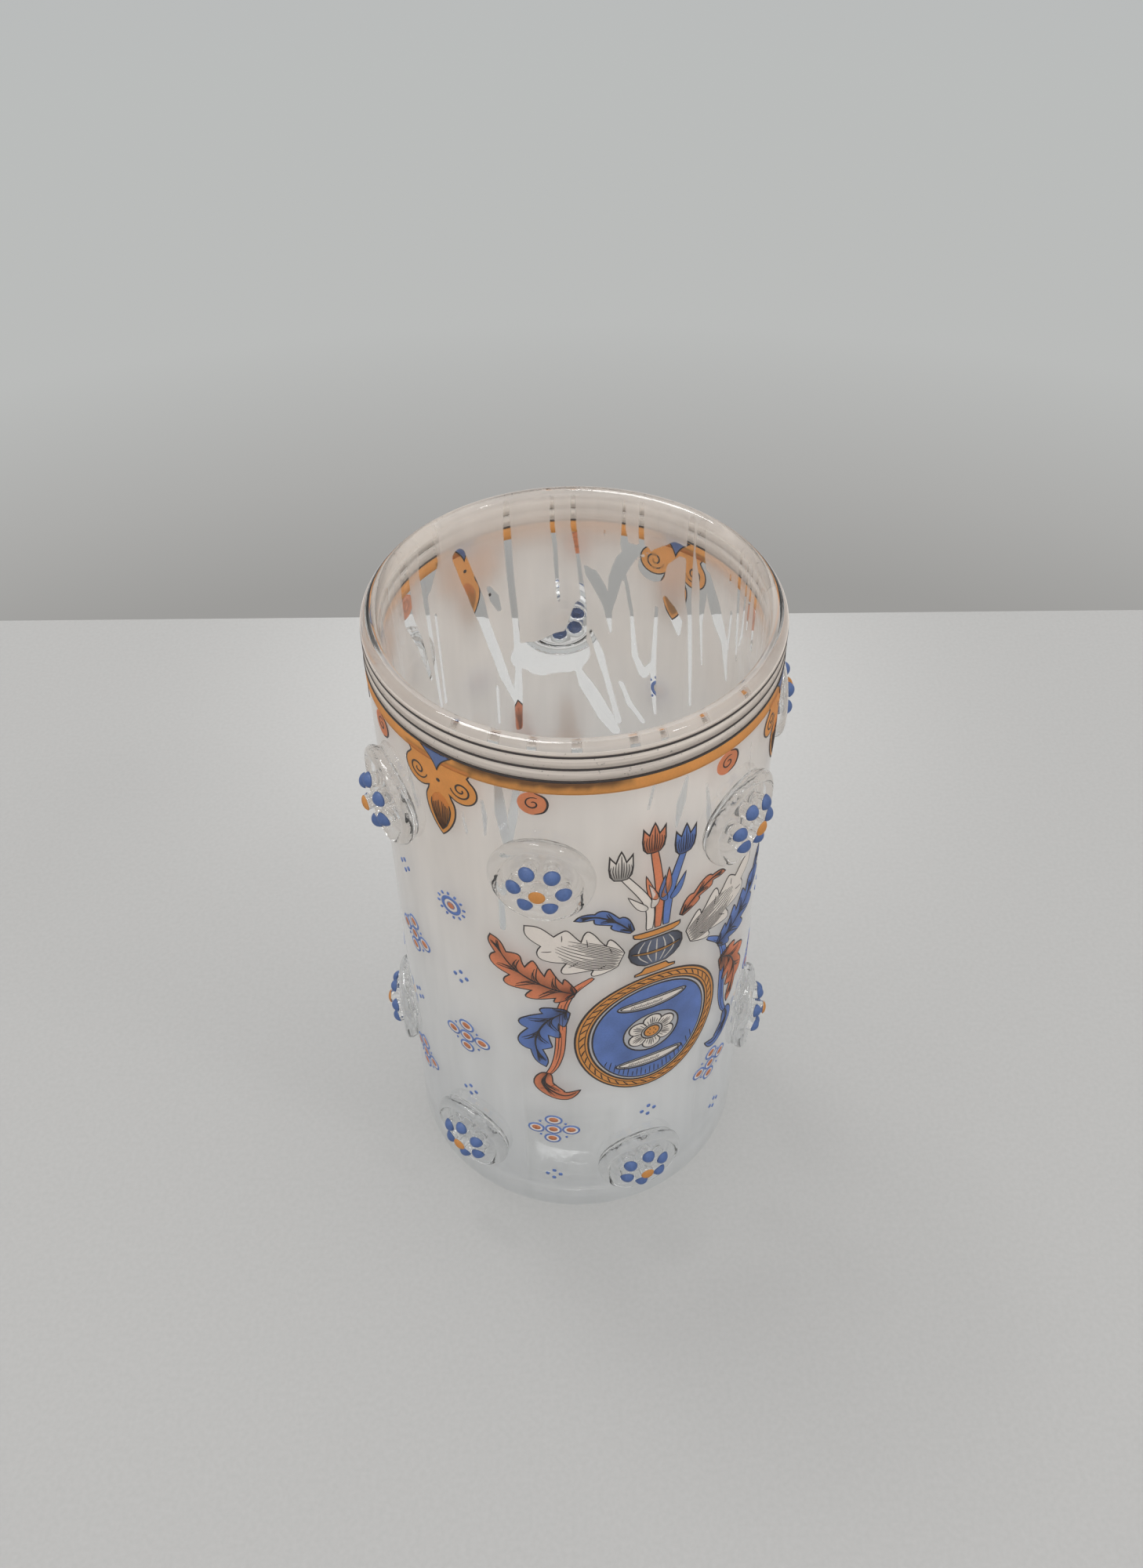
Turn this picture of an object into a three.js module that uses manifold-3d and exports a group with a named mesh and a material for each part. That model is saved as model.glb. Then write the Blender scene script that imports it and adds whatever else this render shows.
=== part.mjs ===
// An enamelled glass beaker vase with applied glass prunts, built as separate pieces.
// Millimetres, +Z up. The origin is the centre of the resting plane under the foot.
// A turn is an angle round the axis in degrees: 0 faces -Y and 90 faces +X.

import * as THREE from "three";
import { mergeVertices } from "three/addons/utils/BufferGeometryUtils.js";
import Module from "manifold-3d";

const wasm = await Module();
wasm.setup();

// Beaker
const vaseHeight = 150;
const outerRadius = 38.5;
const wallThickness = 3.2;
const floorThickness = 7;
const footRounding = 4;
const floorCornerRadius = 3.5;
const hollowRadius = 27;
const hollowDepth = 1.6;
const aroundSegments = 48;

// Milky layer that lines the wall
const milkyThickness = 0.6;
const milkyRimMargin = 3;
const milkyFloorMargin = 4;
const fitGap = 0.3;

// Clear gaps in the milky layer, set from the rim down, and a wide clear window, set from the floor up.
// The lean is how many degrees the top of a gap lies ahead of its bottom.
const clearGaps = [
  { turn: -158.5, drop: 6, length: 46, width: 1.6, lean: 2 },
  { turn: -149, drop: 9.5, length: 41, width: 2.6, lean: 17 },
  { turn: -152.2, drop: 19.5, length: 8, width: 1.8, lean: 3.4 },
  { turn: -116.5, drop: 8, length: 26, width: 2.2, lean: 4.5 },
  { turn: -126, drop: 8, length: 34, width: 1.5, lean: -1 },
  { turn: -129, drop: 20, length: 25, width: 0.8, lean: 1 },
  { turn: -174.3, drop: 8, length: 19, width: 0.9, lean: 1.8 },
  { turn: -171, drop: 34.5, length: 15, width: 11, lean: 0 },
  { turn: 178.2, drop: 8, length: 30, width: 1.3, lean: 3 },
  { turn: 171.5, drop: 18, length: 13, width: 2.4, lean: 9.5 },
  { turn: 163, drop: 12, length: 18.5, width: 3.2, lean: -10 },
  { turn: 152, drop: 11, length: 9, width: 5, lean: -4 },
  { turn: 159.5, drop: 19, length: 25, width: 1.3, lean: 6 },
  { turn: 150.5, drop: 26, length: 30, width: 1, lean: 0.5 },
  { turn: 144.8, drop: 22, length: 9, width: 2.6, lean: 6 },
  { turn: 138, drop: 8, length: 40, width: 1.4, lean: 4 },
  { turn: 133, drop: 8, length: 27, width: 1.5, lean: 3.5 },
  { turn: 125.5, drop: 12, length: 22, width: 3.4, lean: 13 },
  { turn: 169, drop: 35, length: 26, width: 1.3, lean: 10.5 },
  { turn: 171.5, drop: 46, length: 18, width: 3, lean: 13.5 },
  { turn: 158.5, drop: 48.5, length: 12, width: 1.8, lean: 8 },
  { turn: 115, drop: 8, length: 20, width: 0.9, lean: 2.5 },
  { turn: -18, drop: 9, length: 27, width: 1.4, lean: 0.5 },
  { turn: 31, drop: 10, length: 22, width: 1, lean: 2 },
  { turn: 78, drop: 22, length: 60, width: 1.6, lean: 3 },
  { turn: -74, drop: 30, length: 70, width: 1.5, lean: -3 },
];
const windowRise = 14;
const windowHeight = 36;
const windowHalfWidth = 10.5;
const windowTurn = -1;

// Prunts: a flat pad with a ring of knobs round a taller middle knob
const padRadius = 10;
const padThickness = 2.2;
const padSegments = 16;
const knobRadius = 1.9;
const knobCircleRadius = 4.7;
const knobCount = 6;
const knobSegments = 6;
const ringKnobHeight = 5.2;
const middleKnobHeight = 6.2;
const upperPruntDrop = 31;
const lowerPruntRise = 24;
const upperPruntTurns = [-62, -9.2, 49.8, 103, 184, -114.5];
const upperPruntShifts = [0.5, -0.3, 0.9, 2.2, -2.8, 1];
const lowerPruntTurns = [-88, -37.7, 20.6, 80, 141, -159];
const lowerPruntShifts = [11, 0, -2.6, 13.5, 0, 2];

// Enamel on the outside of the wall
const enamelThickness = 0.35;
const enamelSpacing = 0.45;
const curveSteps = 6;
const smallEllipsePoints = 13;
const largeEllipsePoints = 28;

// Painted rings under the rim, from the rim down
const firstLineDrop = 2.6;
const thinLineWidth = 0.6;
const whiteBandWidth = 2.1;
const thickLineWidth = 0.9;
const ochreBandWidth = 2.3;

// Pendants and roundels that hang under the ochre ring
const pendantTurns = [-38, 73, 146, -145, -92];
const voluteRadius = 3.3;
const voluteSpacing = 4.7;
const pendantLeafLength = 13;
const pendantLeafHalfWidth = 3.4;
const yokeHeight = 2.2;
const spandrelHalfWidth = 3;
const spandrelHeight = 2.6;
const spandrelRise = 1.5;
const roundelTurns = [-63, -11, 43, 109, 179, -116];
const roundelRadius = 2.65;
const roundelGap = 0.5;

// Painted ornament on the front: a cartouche, an urn with three buds, and scrolling leaves
const ornamentTurn = 23;
const cartoucheDrop = 82;
const cartoucheHalfWidth = 16.3;
const cartoucheHalfHeight = 19;
const cartoucheFrameWidth = 3.1;
const rosettePetals = 6;
const rosetteRadius = 5.6;
const rosetteHeartRadius = 1.8;
const barHalfLength = 7;
const barHalfHeight = 1.1;
const barEndDistance = 5.65;
const urnFootHeight = 2.3;
const urnFootHalfWidth = 4.4;
const urnStemHalfWidth = 2.3;
const urnBodyHeight = 8;
const urnBodyHalfWidth = 5.8;
const urnNeckHalfWidth = 3.3;
const urnRimHeight = 1.9;
const urnRimHalfWidth = 5;
const budHalfWidth = 2.3;
const budHeight = 8;
const stemHalfWidth = 0.45;
const stemSpacing = 1.7;
const whiteBudOffset = -7.6;
const brickBudOffset = -1.6;
const blueBudOffset = 4.8;
const whiteStemHeight = 15.5;
const brickStemHeight = 21;
const blueStemHeight = 18;
const buds = [
  { name: "bud_white", root: -stemSpacing, side: whiteBudOffset, rise: whiteStemHeight, colour: "white" },
  { name: "bud_brick", root: 0, side: brickBudOffset, rise: brickStemHeight, colour: "brick" },
  { name: "bud_blue", root: stemSpacing, side: blueBudOffset, rise: blueStemHeight, colour: "blue" },
];

// Scrolling leaves beside the cartouche and the white ground behind them, drawn on the left
const upperLeafSpine = [[-15.8, 16.5], [-22, 18.5], [-28.5, 23], [-32.5, 31]];
const lowerLeafSpine = [[-17.4, 11], [-22, 6.5], [-24.2, -1], [-22, -9]];
const curlSpine = [[-21.8, -11], [-22.6, -15.5], [-18.4, -19], [-14.8, -16.6]];
const groundSpine = [[-7, 26], [-13, 28], [-19.5, 31], [-25.5, 36]];
const upperLeaf = { spine: upperLeafSpine, half: 5.2, lobes: 5, root: 1 };
const lowerLeaf = { spine: lowerLeafSpine, half: 4.3, lobes: 4, root: 0.8 };
const curl = { spine: curlSpine, half: 1.9, lobes: 1, root: 0.7 };
const ground = { spine: groundSpine, half: 5.6, lobes: 4, root: 2 };

// Three leaves painted on the far side
const backTurn = -160;
const backDrop = 72;
const backMiddleSpine = [[0, -8], [0.4, 0], [-0.3, 9], [0, 18]];
const backSideSpine = [[5.4, -9], [9.8, -2], [12, 7], [11, 19]];
const backMiddleLeaf = { spine: backMiddleSpine, half: 3.8, lobes: 3, root: 1 };
const backSideLeaf = { spine: backSideSpine, half: 3.7, lobes: 3, root: 1 };

// Finishes
const clearGlass = { color: 0xd9dedd, roughness: 0.05, metalness: 0 };
const milkyGlass = { color: 0xe6e1dd, roughness: 0.35, metalness: 0 };
const whiteEnamel = { color: 0xe4dcd4, roughness: 0.45, metalness: 0 };
const blackEnamel = { color: 0x3a3133, roughness: 0.45, metalness: 0 };
const ochreEnamel = { color: 0xc98332, roughness: 0.4, metalness: 0 };
const blueEnamel = { color: 0x4a67a8, roughness: 0.4, metalness: 0 };
const brickEnamel = { color: 0xbf6a4a, roughness: 0.4, metalness: 0 };
const steelEnamel = { color: 0x4f5058, roughness: 0.4, metalness: 0 };

const vase = new THREE.Group();

// Solids and meshes

function toSolid(geometry) {
  const bare = geometry.clone();
  bare.deleteAttribute("normal");
  bare.deleteAttribute("uv");
  const merged = mergeVertices(bare);
  const index = merged.index.array;
  const corners = [];
  for (let i = 0; i < index.length; i += 3) {
    const [a, b, c] = [index[i], index[i + 1], index[i + 2]];
    if (a !== b && b !== c && c !== a) corners.push(a, b, c);
  }
  return new wasm.Manifold(new wasm.Mesh({
    numProp: 3,
    vertProperties: new Float32Array(merged.attributes.position.array),
    triVerts: new Uint32Array(corners),
  }));
}

function toGeometry(solid) {
  const mesh = solid.getMesh();
  const geometry = new THREE.BufferGeometry();
  geometry.setAttribute("position", new THREE.BufferAttribute(new Float32Array(mesh.vertProperties), 3));
  geometry.setIndex(new THREE.BufferAttribute(new Uint32Array(mesh.triVerts), 1));
  geometry.computeVertexNormals();
  return geometry;
}

function addPiece(name, solid, finish) {
  const piece = new THREE.Mesh(toGeometry(solid), new THREE.MeshStandardMaterial(finish));
  piece.name = name;
  vase.add(piece);
}

function joined(solids) {
  return solids.reduce((whole, next) => whole.add(next));
}

// A profile of [radius, height] pairs turned about the vase's axis

function turned(profile) {
  const points = profile.map(([radius, height]) => new THREE.Vector2(radius, height));
  const geometry = new THREE.LatheGeometry(points, aroundSegments);
  geometry.rotateX(Math.PI / 2);
  return toSolid(geometry);
}

// A tube about the axis, as a profile that closes on itself

function tube(innerRadius, tubeRadius, low, high) {
  return turned([
    [innerRadius, low],
    [tubeRadius, low],
    [tubeRadius, high],
    [innerRadius, high],
    [innerRadius, low],
  ]);
}

// Quarter-circle corners for a profile

function arcPoints(centre, radius, fromDegrees, toDegrees, steps) {
  return Array.from({ length: steps + 1 }, (_, i) => {
    const angle = THREE.MathUtils.degToRad(fromDegrees + ((toDegrees - fromDegrees) * i) / steps);
    return [centre[0] + radius * Math.cos(angle), centre[1] + radius * Math.sin(angle)];
  });
}

// Beaker: thick floor with a shallow hollow underneath, rounded foot and rim,
// and a shallow recess inside the wall for the milky layer

const innerRadius = outerRadius - wallThickness;
const recessRadius = innerRadius + milkyThickness + fitGap;
const milkyLow = floorThickness + milkyFloorMargin;
const milkyHigh = vaseHeight - milkyRimMargin;
const rimRadius = wallThickness / 2;

const beakerProfile = [
  [0, hollowDepth],
  [hollowRadius, hollowDepth],
  [hollowRadius + hollowDepth, 0],
  ...arcPoints([outerRadius - footRounding, footRounding], footRounding, -90, 0, 5),
  ...arcPoints([outerRadius - rimRadius, vaseHeight - rimRadius], rimRadius, 0, 180, 6),
  [innerRadius, milkyHigh + fitGap],
  [recessRadius, milkyHigh + fitGap],
  [recessRadius, milkyLow - fitGap],
  [innerRadius, milkyLow - fitGap],
  ...arcPoints(
    [innerRadius - floorCornerRadius, floorThickness + floorCornerRadius],
    floorCornerRadius, 0, -90, 4,
  ),
  [0, floorThickness],
];
addPiece("vase_body", turned(beakerProfile), clearGlass);

// Frame of a spot on the wall: across to the right, up, and straight out

function wallFrame(turn, height) {
  const angle = THREE.MathUtils.degToRad(turn);
  const across = new THREE.Vector3(Math.cos(angle), Math.sin(angle), 0);
  const up = new THREE.Vector3(0, 0, 1);
  const out = new THREE.Vector3(Math.sin(angle), -Math.cos(angle), 0);
  return new THREE.Matrix4().makeBasis(across, up, out).setPosition(0, 0, height);
}

// Flat outlines are drawn in millimetres along the wall and bent by narrowing them towards the sides

const enamelInner = outerRadius + fitGap;
const enamelOuter = enamelInner + enamelThickness;
const enamelShell = tube(enamelInner, enamelOuter, 0, vaseHeight);
const prismStart = 8;
const prismLength = outerRadius;

function narrowed(points) {
  return points.map((p) => new THREE.Vector2(outerRadius * Math.sin(p.x / outerRadius), p.y));
}

function prism(shape, turn, height) {
  const outline = shape.extractPoints(curveSteps);
  const bent = new THREE.Shape(narrowed(outline.shape));
  bent.holes = outline.holes.map((hole) => new THREE.Path(narrowed(hole)));
  const geometry = new THREE.ExtrudeGeometry(bent, { depth: prismLength, bevelEnabled: false });
  geometry.translate(0, 0, prismStart);
  geometry.applyMatrix4(wallFrame(turn, height));
  return toSolid(geometry);
}

function enamelPlate(shapes, turn, height) {
  return joined(shapes.map((shape) => prism(shape, turn, height))).intersect(enamelShell);
}

function outlineShape(points) {
  return new THREE.Shape(points.map(([x, y]) => new THREE.Vector2(x, y)));
}

function ellipsePoints(x, y, halfWidth, halfHeight, count) {
  return new THREE.EllipseCurve(x, y, halfWidth, halfHeight).getPoints(count).slice(0, -1);
}

function ellipseShape(x, y, halfWidth, halfHeight, count = smallEllipsePoints) {
  return new THREE.Shape(ellipsePoints(x, y, halfWidth, halfHeight, count));
}

function ellipsePath(x, y, halfWidth, halfHeight, count = smallEllipsePoints) {
  return new THREE.Path(ellipsePoints(x, y, halfWidth, halfHeight, count));
}

// Milky layer: a thin tube with clear gaps where the streaks part

function gapPrism({ turn, drop, length, width, lean }) {
  const shift = (THREE.MathUtils.degToRad(lean) * outerRadius) / 2;
  const half = width / 2;
  const gap = outlineShape([
    [-shift, 0],
    [half - shift / 3, length / 3],
    [half + shift / 3, (2 * length) / 3],
    [shift, length],
    [shift / 3 - half, (2 * length) / 3],
    [-shift / 3 - half, length / 3],
  ]);
  return prism(gap, turn, vaseHeight - drop - length);
}

const clearWindow = outlineShape([
  [-windowHalfWidth, windowHeight / 4],
  [0, 0],
  [windowHalfWidth, windowHeight / 4],
  [windowHalfWidth, windowHeight],
  [-windowHalfWidth, windowHeight],
]);
const milkyTube = tube(innerRadius, innerRadius + milkyThickness, milkyLow, milkyHigh);
const milkyCuts = [...clearGaps.map(gapPrism), prism(clearWindow, windowTurn, windowRise)];
addPiece("milky_lining", milkyTube.subtract(joined(milkyCuts)), milkyGlass);

// Prunt: the pad is bent round the wall, and the knobs stand straight out of it

const seatRadius = outerRadius + fitGap;

function pruntPad(turn, height) {
  const points = [
    [0, 0],
    [padRadius * 0.5, 0],
    [padRadius, 0],
    [padRadius, padThickness * 0.5],
    [padRadius * 0.86, padThickness * 0.86],
    [0, padThickness],
  ].map(([radius, out]) => new THREE.Vector2(radius, out));
  const geometry = new THREE.LatheGeometry(points, padSegments);
  const position = geometry.attributes.position;
  for (let i = 0; i < position.count; i += 1) {
    const angle = THREE.MathUtils.degToRad(turn) + position.getX(i) / seatRadius;
    const radius = seatRadius + position.getY(i);
    position.setXYZ(i, radius * Math.sin(angle), -radius * Math.cos(angle), height - position.getZ(i));
  }
  return toSolid(geometry);
}

function pruntKnob(turn, height, knobHeight) {
  const points = [
    [0, padThickness * 0.5],
    [knobRadius * 0.95, padThickness * 0.5],
    [knobRadius, knobHeight * 0.72],
    [knobRadius * 0.62, knobHeight * 0.95],
    [0, knobHeight],
  ].map(([radius, out]) => new THREE.Vector2(radius, out));
  const geometry = new THREE.LatheGeometry(points, knobSegments);
  geometry.rotateX(Math.PI / 2);
  geometry.translate(0, 0, seatRadius);
  geometry.applyMatrix4(wallFrame(turn, height));
  return toSolid(geometry);
}

function prunt(turn, height) {
  const pieces = [pruntPad(turn, height), pruntKnob(turn, height, middleKnobHeight)];
  for (let k = 0; k < knobCount; k += 1) {
    const angle = (2 * Math.PI * (k + 0.5)) / knobCount;
    const across = THREE.MathUtils.radToDeg((knobCircleRadius * Math.sin(angle)) / seatRadius);
    const rise = knobCircleRadius * Math.cos(angle);
    pieces.push(pruntKnob(turn + across, height + rise, ringKnobHeight));
  }
  return joined(pieces);
}

const upperPruntHeight = vaseHeight - upperPruntDrop;
upperPruntTurns.forEach((turn, i) => {
  addPiece(`prunt_upper_${i + 1}`, prunt(turn, upperPruntHeight + upperPruntShifts[i]), clearGlass);
});
lowerPruntTurns.forEach((turn, i) => {
  addPiece(`prunt_lower_${i + 1}`, prunt(turn, lowerPruntRise + lowerPruntShifts[i]), clearGlass);
});

// Painted rings: thin line, white, thin line, white, thick line, ochre

const ringGap = fitGap / 2;
const ringWidths = [
  ["rim_line_upper", thinLineWidth, blackEnamel],
  ["rim_white_upper", whiteBandWidth, whiteEnamel],
  ["rim_line_middle", thinLineWidth, blackEnamel],
  ["rim_white_lower", whiteBandWidth, whiteEnamel],
  ["rim_line_lower", thickLineWidth, blackEnamel],
];
let ringTop = vaseHeight - firstLineDrop;
for (const [name, width, finish] of ringWidths) {
  addPiece(name, tube(enamelInner, enamelOuter, ringTop - width, ringTop), finish);
  ringTop -= width + ringGap;
}
const ochreTop = ringTop;
const ochreLow = ochreTop - ochreBandWidth;

// Pendants: two volutes under a yoke, a pointed leaf, and a blue spandrel let into the ring above

const voluteDrop = voluteRadius + enamelSpacing;
const voluteHeight = ochreLow - voluteDrop;
const spandrelLow = ochreLow - spandrelRise;

const spandrelShape = outlineShape([
  [-spandrelHalfWidth, spandrelHeight],
  [0, 0],
  [spandrelHalfWidth, spandrelHeight],
]);
const spandrelPocket = outlineShape([
  [-spandrelHalfWidth - 2 * enamelSpacing, spandrelHeight + enamelSpacing],
  [0, -enamelSpacing * 1.4],
  [spandrelHalfWidth + 2 * enamelSpacing, spandrelHeight + enamelSpacing],
]);

function pendantShapes() {
  const leaf = new THREE.Shape();
  leaf.moveTo(0, 1.5);
  leaf.bezierCurveTo(-1.2, 0, -pendantLeafHalfWidth, -2.5, -pendantLeafHalfWidth, -5.5);
  leaf.quadraticCurveTo(-pendantLeafHalfWidth * 0.9, -9, 0, -pendantLeafLength);
  leaf.quadraticCurveTo(pendantLeafHalfWidth * 0.9, -9, pendantLeafHalfWidth, -5.5);
  leaf.bezierCurveTo(pendantLeafHalfWidth, -2.5, 1.2, 0, 0, 1.5);
  const yokeTop = voluteRadius + enamelSpacing / 2;
  const yoke = outlineShape([
    [-voluteSpacing, yokeTop],
    [-voluteSpacing, yokeTop - yokeHeight],
    [0, -yokeHeight],
    [voluteSpacing, yokeTop - yokeHeight],
    [voluteSpacing, yokeTop],
  ]);
  return [
    leaf,
    yoke,
    ellipseShape(-voluteSpacing, 0, voluteRadius, voluteRadius),
    ellipseShape(voluteSpacing, 0, voluteRadius, voluteRadius),
  ];
}

const pockets = joined(pendantTurns.map((turn) => prism(spandrelPocket, turn, spandrelLow)));
const ochreRing = tube(enamelInner, enamelOuter, ochreLow, ochreTop);
addPiece("rim_ochre_ring", ochreRing.subtract(pockets), ochreEnamel);
pendantTurns.forEach((turn, i) => {
  const pendant = enamelPlate(pendantShapes(), turn, voluteHeight).subtract(pockets);
  addPiece(`pendant_${i + 1}`, pendant, ochreEnamel);
  addPiece(`spandrel_${i + 1}`, enamelPlate([spandrelShape], turn, spandrelLow), blueEnamel);
});

// Roundels: one in each space between the pendants, and two in the widest

const roundelHeight = ochreLow - roundelGap - roundelRadius;
roundelTurns.forEach((turn, i) => {
  const disc = ellipseShape(0, 0, roundelRadius, roundelRadius);
  addPiece(`roundel_${i + 1}`, enamelPlate([disc], turn, roundelHeight), brickEnamel);
});

// Ornament: every outline is drawn from the middle of the cartouche

const cartoucheHeight = vaseHeight - cartoucheDrop;

function ornamentPiece(name, shapes, finish) {
  addPiece(name, enamelPlate(shapes, ornamentTurn, cartoucheHeight), finish);
}

// Cartouche: an ochre frame round a blue field with two white bars and a rosette

const frameHoleHalfWidth = cartoucheHalfWidth - cartoucheFrameWidth;
const frameHoleHalfHeight = cartoucheHalfHeight - cartoucheFrameWidth;
const frameShape = ellipseShape(0, 0, cartoucheHalfWidth, cartoucheHalfHeight, largeEllipsePoints);
frameShape.holes = [ellipsePath(0, 0, frameHoleHalfWidth, frameHoleHalfHeight, largeEllipsePoints)];
ornamentPiece("cartouche_frame", [frameShape], ochreEnamel);

const fieldHalfWidth = frameHoleHalfWidth - enamelSpacing;
const fieldHalfHeight = frameHoleHalfHeight - enamelSpacing;
const barOffset = fieldHalfHeight - barEndDistance;
const fieldShape = ellipseShape(0, 0, fieldHalfWidth, fieldHalfHeight, largeEllipsePoints);
fieldShape.holes = [
  ellipsePath(0, 0, rosetteRadius + enamelSpacing, rosetteRadius + enamelSpacing),
  ...[-1, 1].map((side) => ellipsePath(
    0, side * barOffset, barHalfLength + enamelSpacing, barHalfHeight + enamelSpacing,
  )),
];
ornamentPiece("cartouche_field", [fieldShape], blueEnamel);
for (const [name, side] of [["lower", -1], ["upper", 1]]) {
  const bar = ellipseShape(0, side * barOffset, barHalfLength, barHalfHeight);
  ornamentPiece(`cartouche_bar_${name}`, [bar], whiteEnamel);
}

const rosetteSteps = rosettePetals * 6;
const rosetteShape = outlineShape(Array.from({ length: rosetteSteps }, (_, i) => {
  const angle = (2 * Math.PI * i) / rosetteSteps;
  const radius = rosetteRadius * (0.8 + 0.2 * Math.abs(Math.sin((rosettePetals * angle) / 2)));
  return [radius * Math.cos(angle), radius * Math.sin(angle)];
}));
const heartHole = rosetteHeartRadius + enamelSpacing;
rosetteShape.holes = [ellipsePath(0, 0, heartHole, heartHole)];
ornamentPiece("rosette", [rosetteShape], whiteEnamel);
ornamentPiece("rosette_heart", [ellipseShape(0, 0, rosetteHeartRadius, rosetteHeartRadius)], ochreEnamel);

// Urn: ochre foot and lip, dark body

function mirroredOutline(rightSide) {
  const leftSide = rightSide.map(([x, y]) => [-x, y]).reverse();
  return outlineShape([...rightSide, ...leftSide]);
}

const urnFootLow = cartoucheHalfHeight + enamelSpacing;
const urnBodyLow = urnFootLow + urnFootHeight + enamelSpacing;
const urnBodyHigh = urnBodyLow + urnBodyHeight;
const urnRimLow = urnBodyHigh + enamelSpacing;
const urnRimHigh = urnRimLow + urnRimHeight;
ornamentPiece("urn_foot", [mirroredOutline([
  [urnFootHalfWidth, urnFootLow],
  [urnFootHalfWidth, urnFootLow + urnFootHeight / 3],
  [urnStemHalfWidth, urnFootLow + urnFootHeight],
])], ochreEnamel);
ornamentPiece("urn_body", [mirroredOutline([
  [urnStemHalfWidth, urnBodyLow],
  [urnBodyHalfWidth * 0.85, urnBodyLow + urnBodyHeight * 0.25],
  [urnBodyHalfWidth, urnBodyLow + urnBodyHeight * 0.5],
  [urnBodyHalfWidth * 0.85, urnBodyLow + urnBodyHeight * 0.75],
  [urnNeckHalfWidth, urnBodyHigh],
])], steelEnamel);
ornamentPiece("urn_lip", [mirroredOutline([
  [urnNeckHalfWidth, urnRimLow],
  [urnRimHalfWidth, urnRimLow + urnRimHeight / 2],
  [urnRimHalfWidth, urnRimHigh],
])], ochreEnamel);

// A leaf: a curved spine with a lobed edge on both sides, widest past its middle

function leafShape({ spine, half, lobes, root }, side = 1, margin = 0) {
  const curve = new THREE.SplineCurve(spine.map(([x, y]) => new THREE.Vector2(side * x, y)));
  const steps = lobes * 5;
  const left = [];
  const right = [];
  for (let i = 0; i <= steps; i += 1) {
    const t = i / steps;
    const at = curve.getPoint(t);
    const along = curve.getTangent(t);
    const lobe = lobes > 1 ? 0.66 + 0.34 * Math.abs(Math.sin(Math.PI * lobes * t)) : 1;
    const reach = (root + margin) * (1 - t) + (half + margin) * Math.sin(Math.PI * t ** 0.8) * lobe;
    left.push([at.x - along.y * reach, at.y + along.x * reach]);
    right.push([at.x + along.y * reach, at.y - along.x * reach]);
  }
  left.pop();
  return outlineShape([...left, ...right.reverse()]);
}

// Buds: a thin stem and a cup of three pointed petals

function budShape(x, y) {
  const shape = new THREE.Shape();
  shape.moveTo(x, y);
  shape.bezierCurveTo(x + budHalfWidth, y, x + budHalfWidth * 1.2, y + budHeight * 0.4,
    x + budHalfWidth * 0.9, y + budHeight * 0.88);
  shape.lineTo(x + budHalfWidth * 0.4, y + budHeight * 0.62);
  shape.lineTo(x, y + budHeight);
  shape.lineTo(x - budHalfWidth * 0.4, y + budHeight * 0.62);
  shape.lineTo(x - budHalfWidth * 0.9, y + budHeight * 0.88);
  shape.bezierCurveTo(x - budHalfWidth * 1.2, y + budHeight * 0.4, x - budHalfWidth, y, x, y);
  return shape;
}

const enamels = { white: whiteEnamel, brick: brickEnamel, blue: blueEnamel };
const stemRoot = urnRimHigh + enamelSpacing;
for (const { name, root, side, rise, colour } of buds) {
  const stem = leafShape({
    spine: [[root, stemRoot], [root * 1.3, stemRoot + rise * 0.5], [side, stemRoot + rise + budHeight * 0.2]],
    half: stemHalfWidth,
    lobes: 1,
    root: stemHalfWidth,
  });
  ornamentPiece(name, [stem, budShape(side, stemRoot + rise)], enamels[colour]);
}

// Scrolling leaves: the right side mirrors the left with brick and blue changed over

const leafSides = [
  { name: "left", side: 1, upper: brickEnamel, lower: blueEnamel },
  { name: "right", side: -1, upper: blueEnamel, lower: brickEnamel },
];
for (const { name, side, upper, lower } of leafSides) {
  ornamentPiece(`upper_leaf_${name}`, [leafShape(upperLeaf, side)], upper);
  ornamentPiece(`lower_leaf_${name}`, [leafShape(lowerLeaf, side)], lower);
  ornamentPiece(`curl_${name}`, [leafShape(curl, side)], upper);
  const whole = enamelPlate([leafShape(ground, side)], ornamentTurn, cartoucheHeight);
  const leafRoom = prism(leafShape(upperLeaf, side, enamelSpacing), ornamentTurn, cartoucheHeight);
  addPiece(`white_ground_${name}`, whole.subtract(leafRoom), whiteEnamel);
}

// Far side: a brick leaf between two ochre ones

const backHeight = vaseHeight - backDrop;
addPiece("back_leaf_middle", enamelPlate([leafShape(backMiddleLeaf)], backTurn, backHeight), brickEnamel);
addPiece("back_leaf_left", enamelPlate([leafShape(backSideLeaf, -1)], backTurn, backHeight), ochreEnamel);
addPiece("back_leaf_right", enamelPlate([leafShape(backSideLeaf, 1)], backTurn, backHeight), ochreEnamel);

export default vase;
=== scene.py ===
# %% [markdown]
# # An enamelled glass beaker vase
# The vase is a straight beaker of clear glass, blown over a layer of milky streaks. Round glass pads with
# little knobs are melted onto it, and its ornament is painted in enamel and fired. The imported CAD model
# comes first: it fixes where every piece is, in metres, with +Z up.

import random
from math import atan2, ceil, cos, degrees, exp, hypot, pi, radians, sin, sqrt

import bmesh
import bpy
import numpy as np
from mathutils import Matrix, Vector


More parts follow.
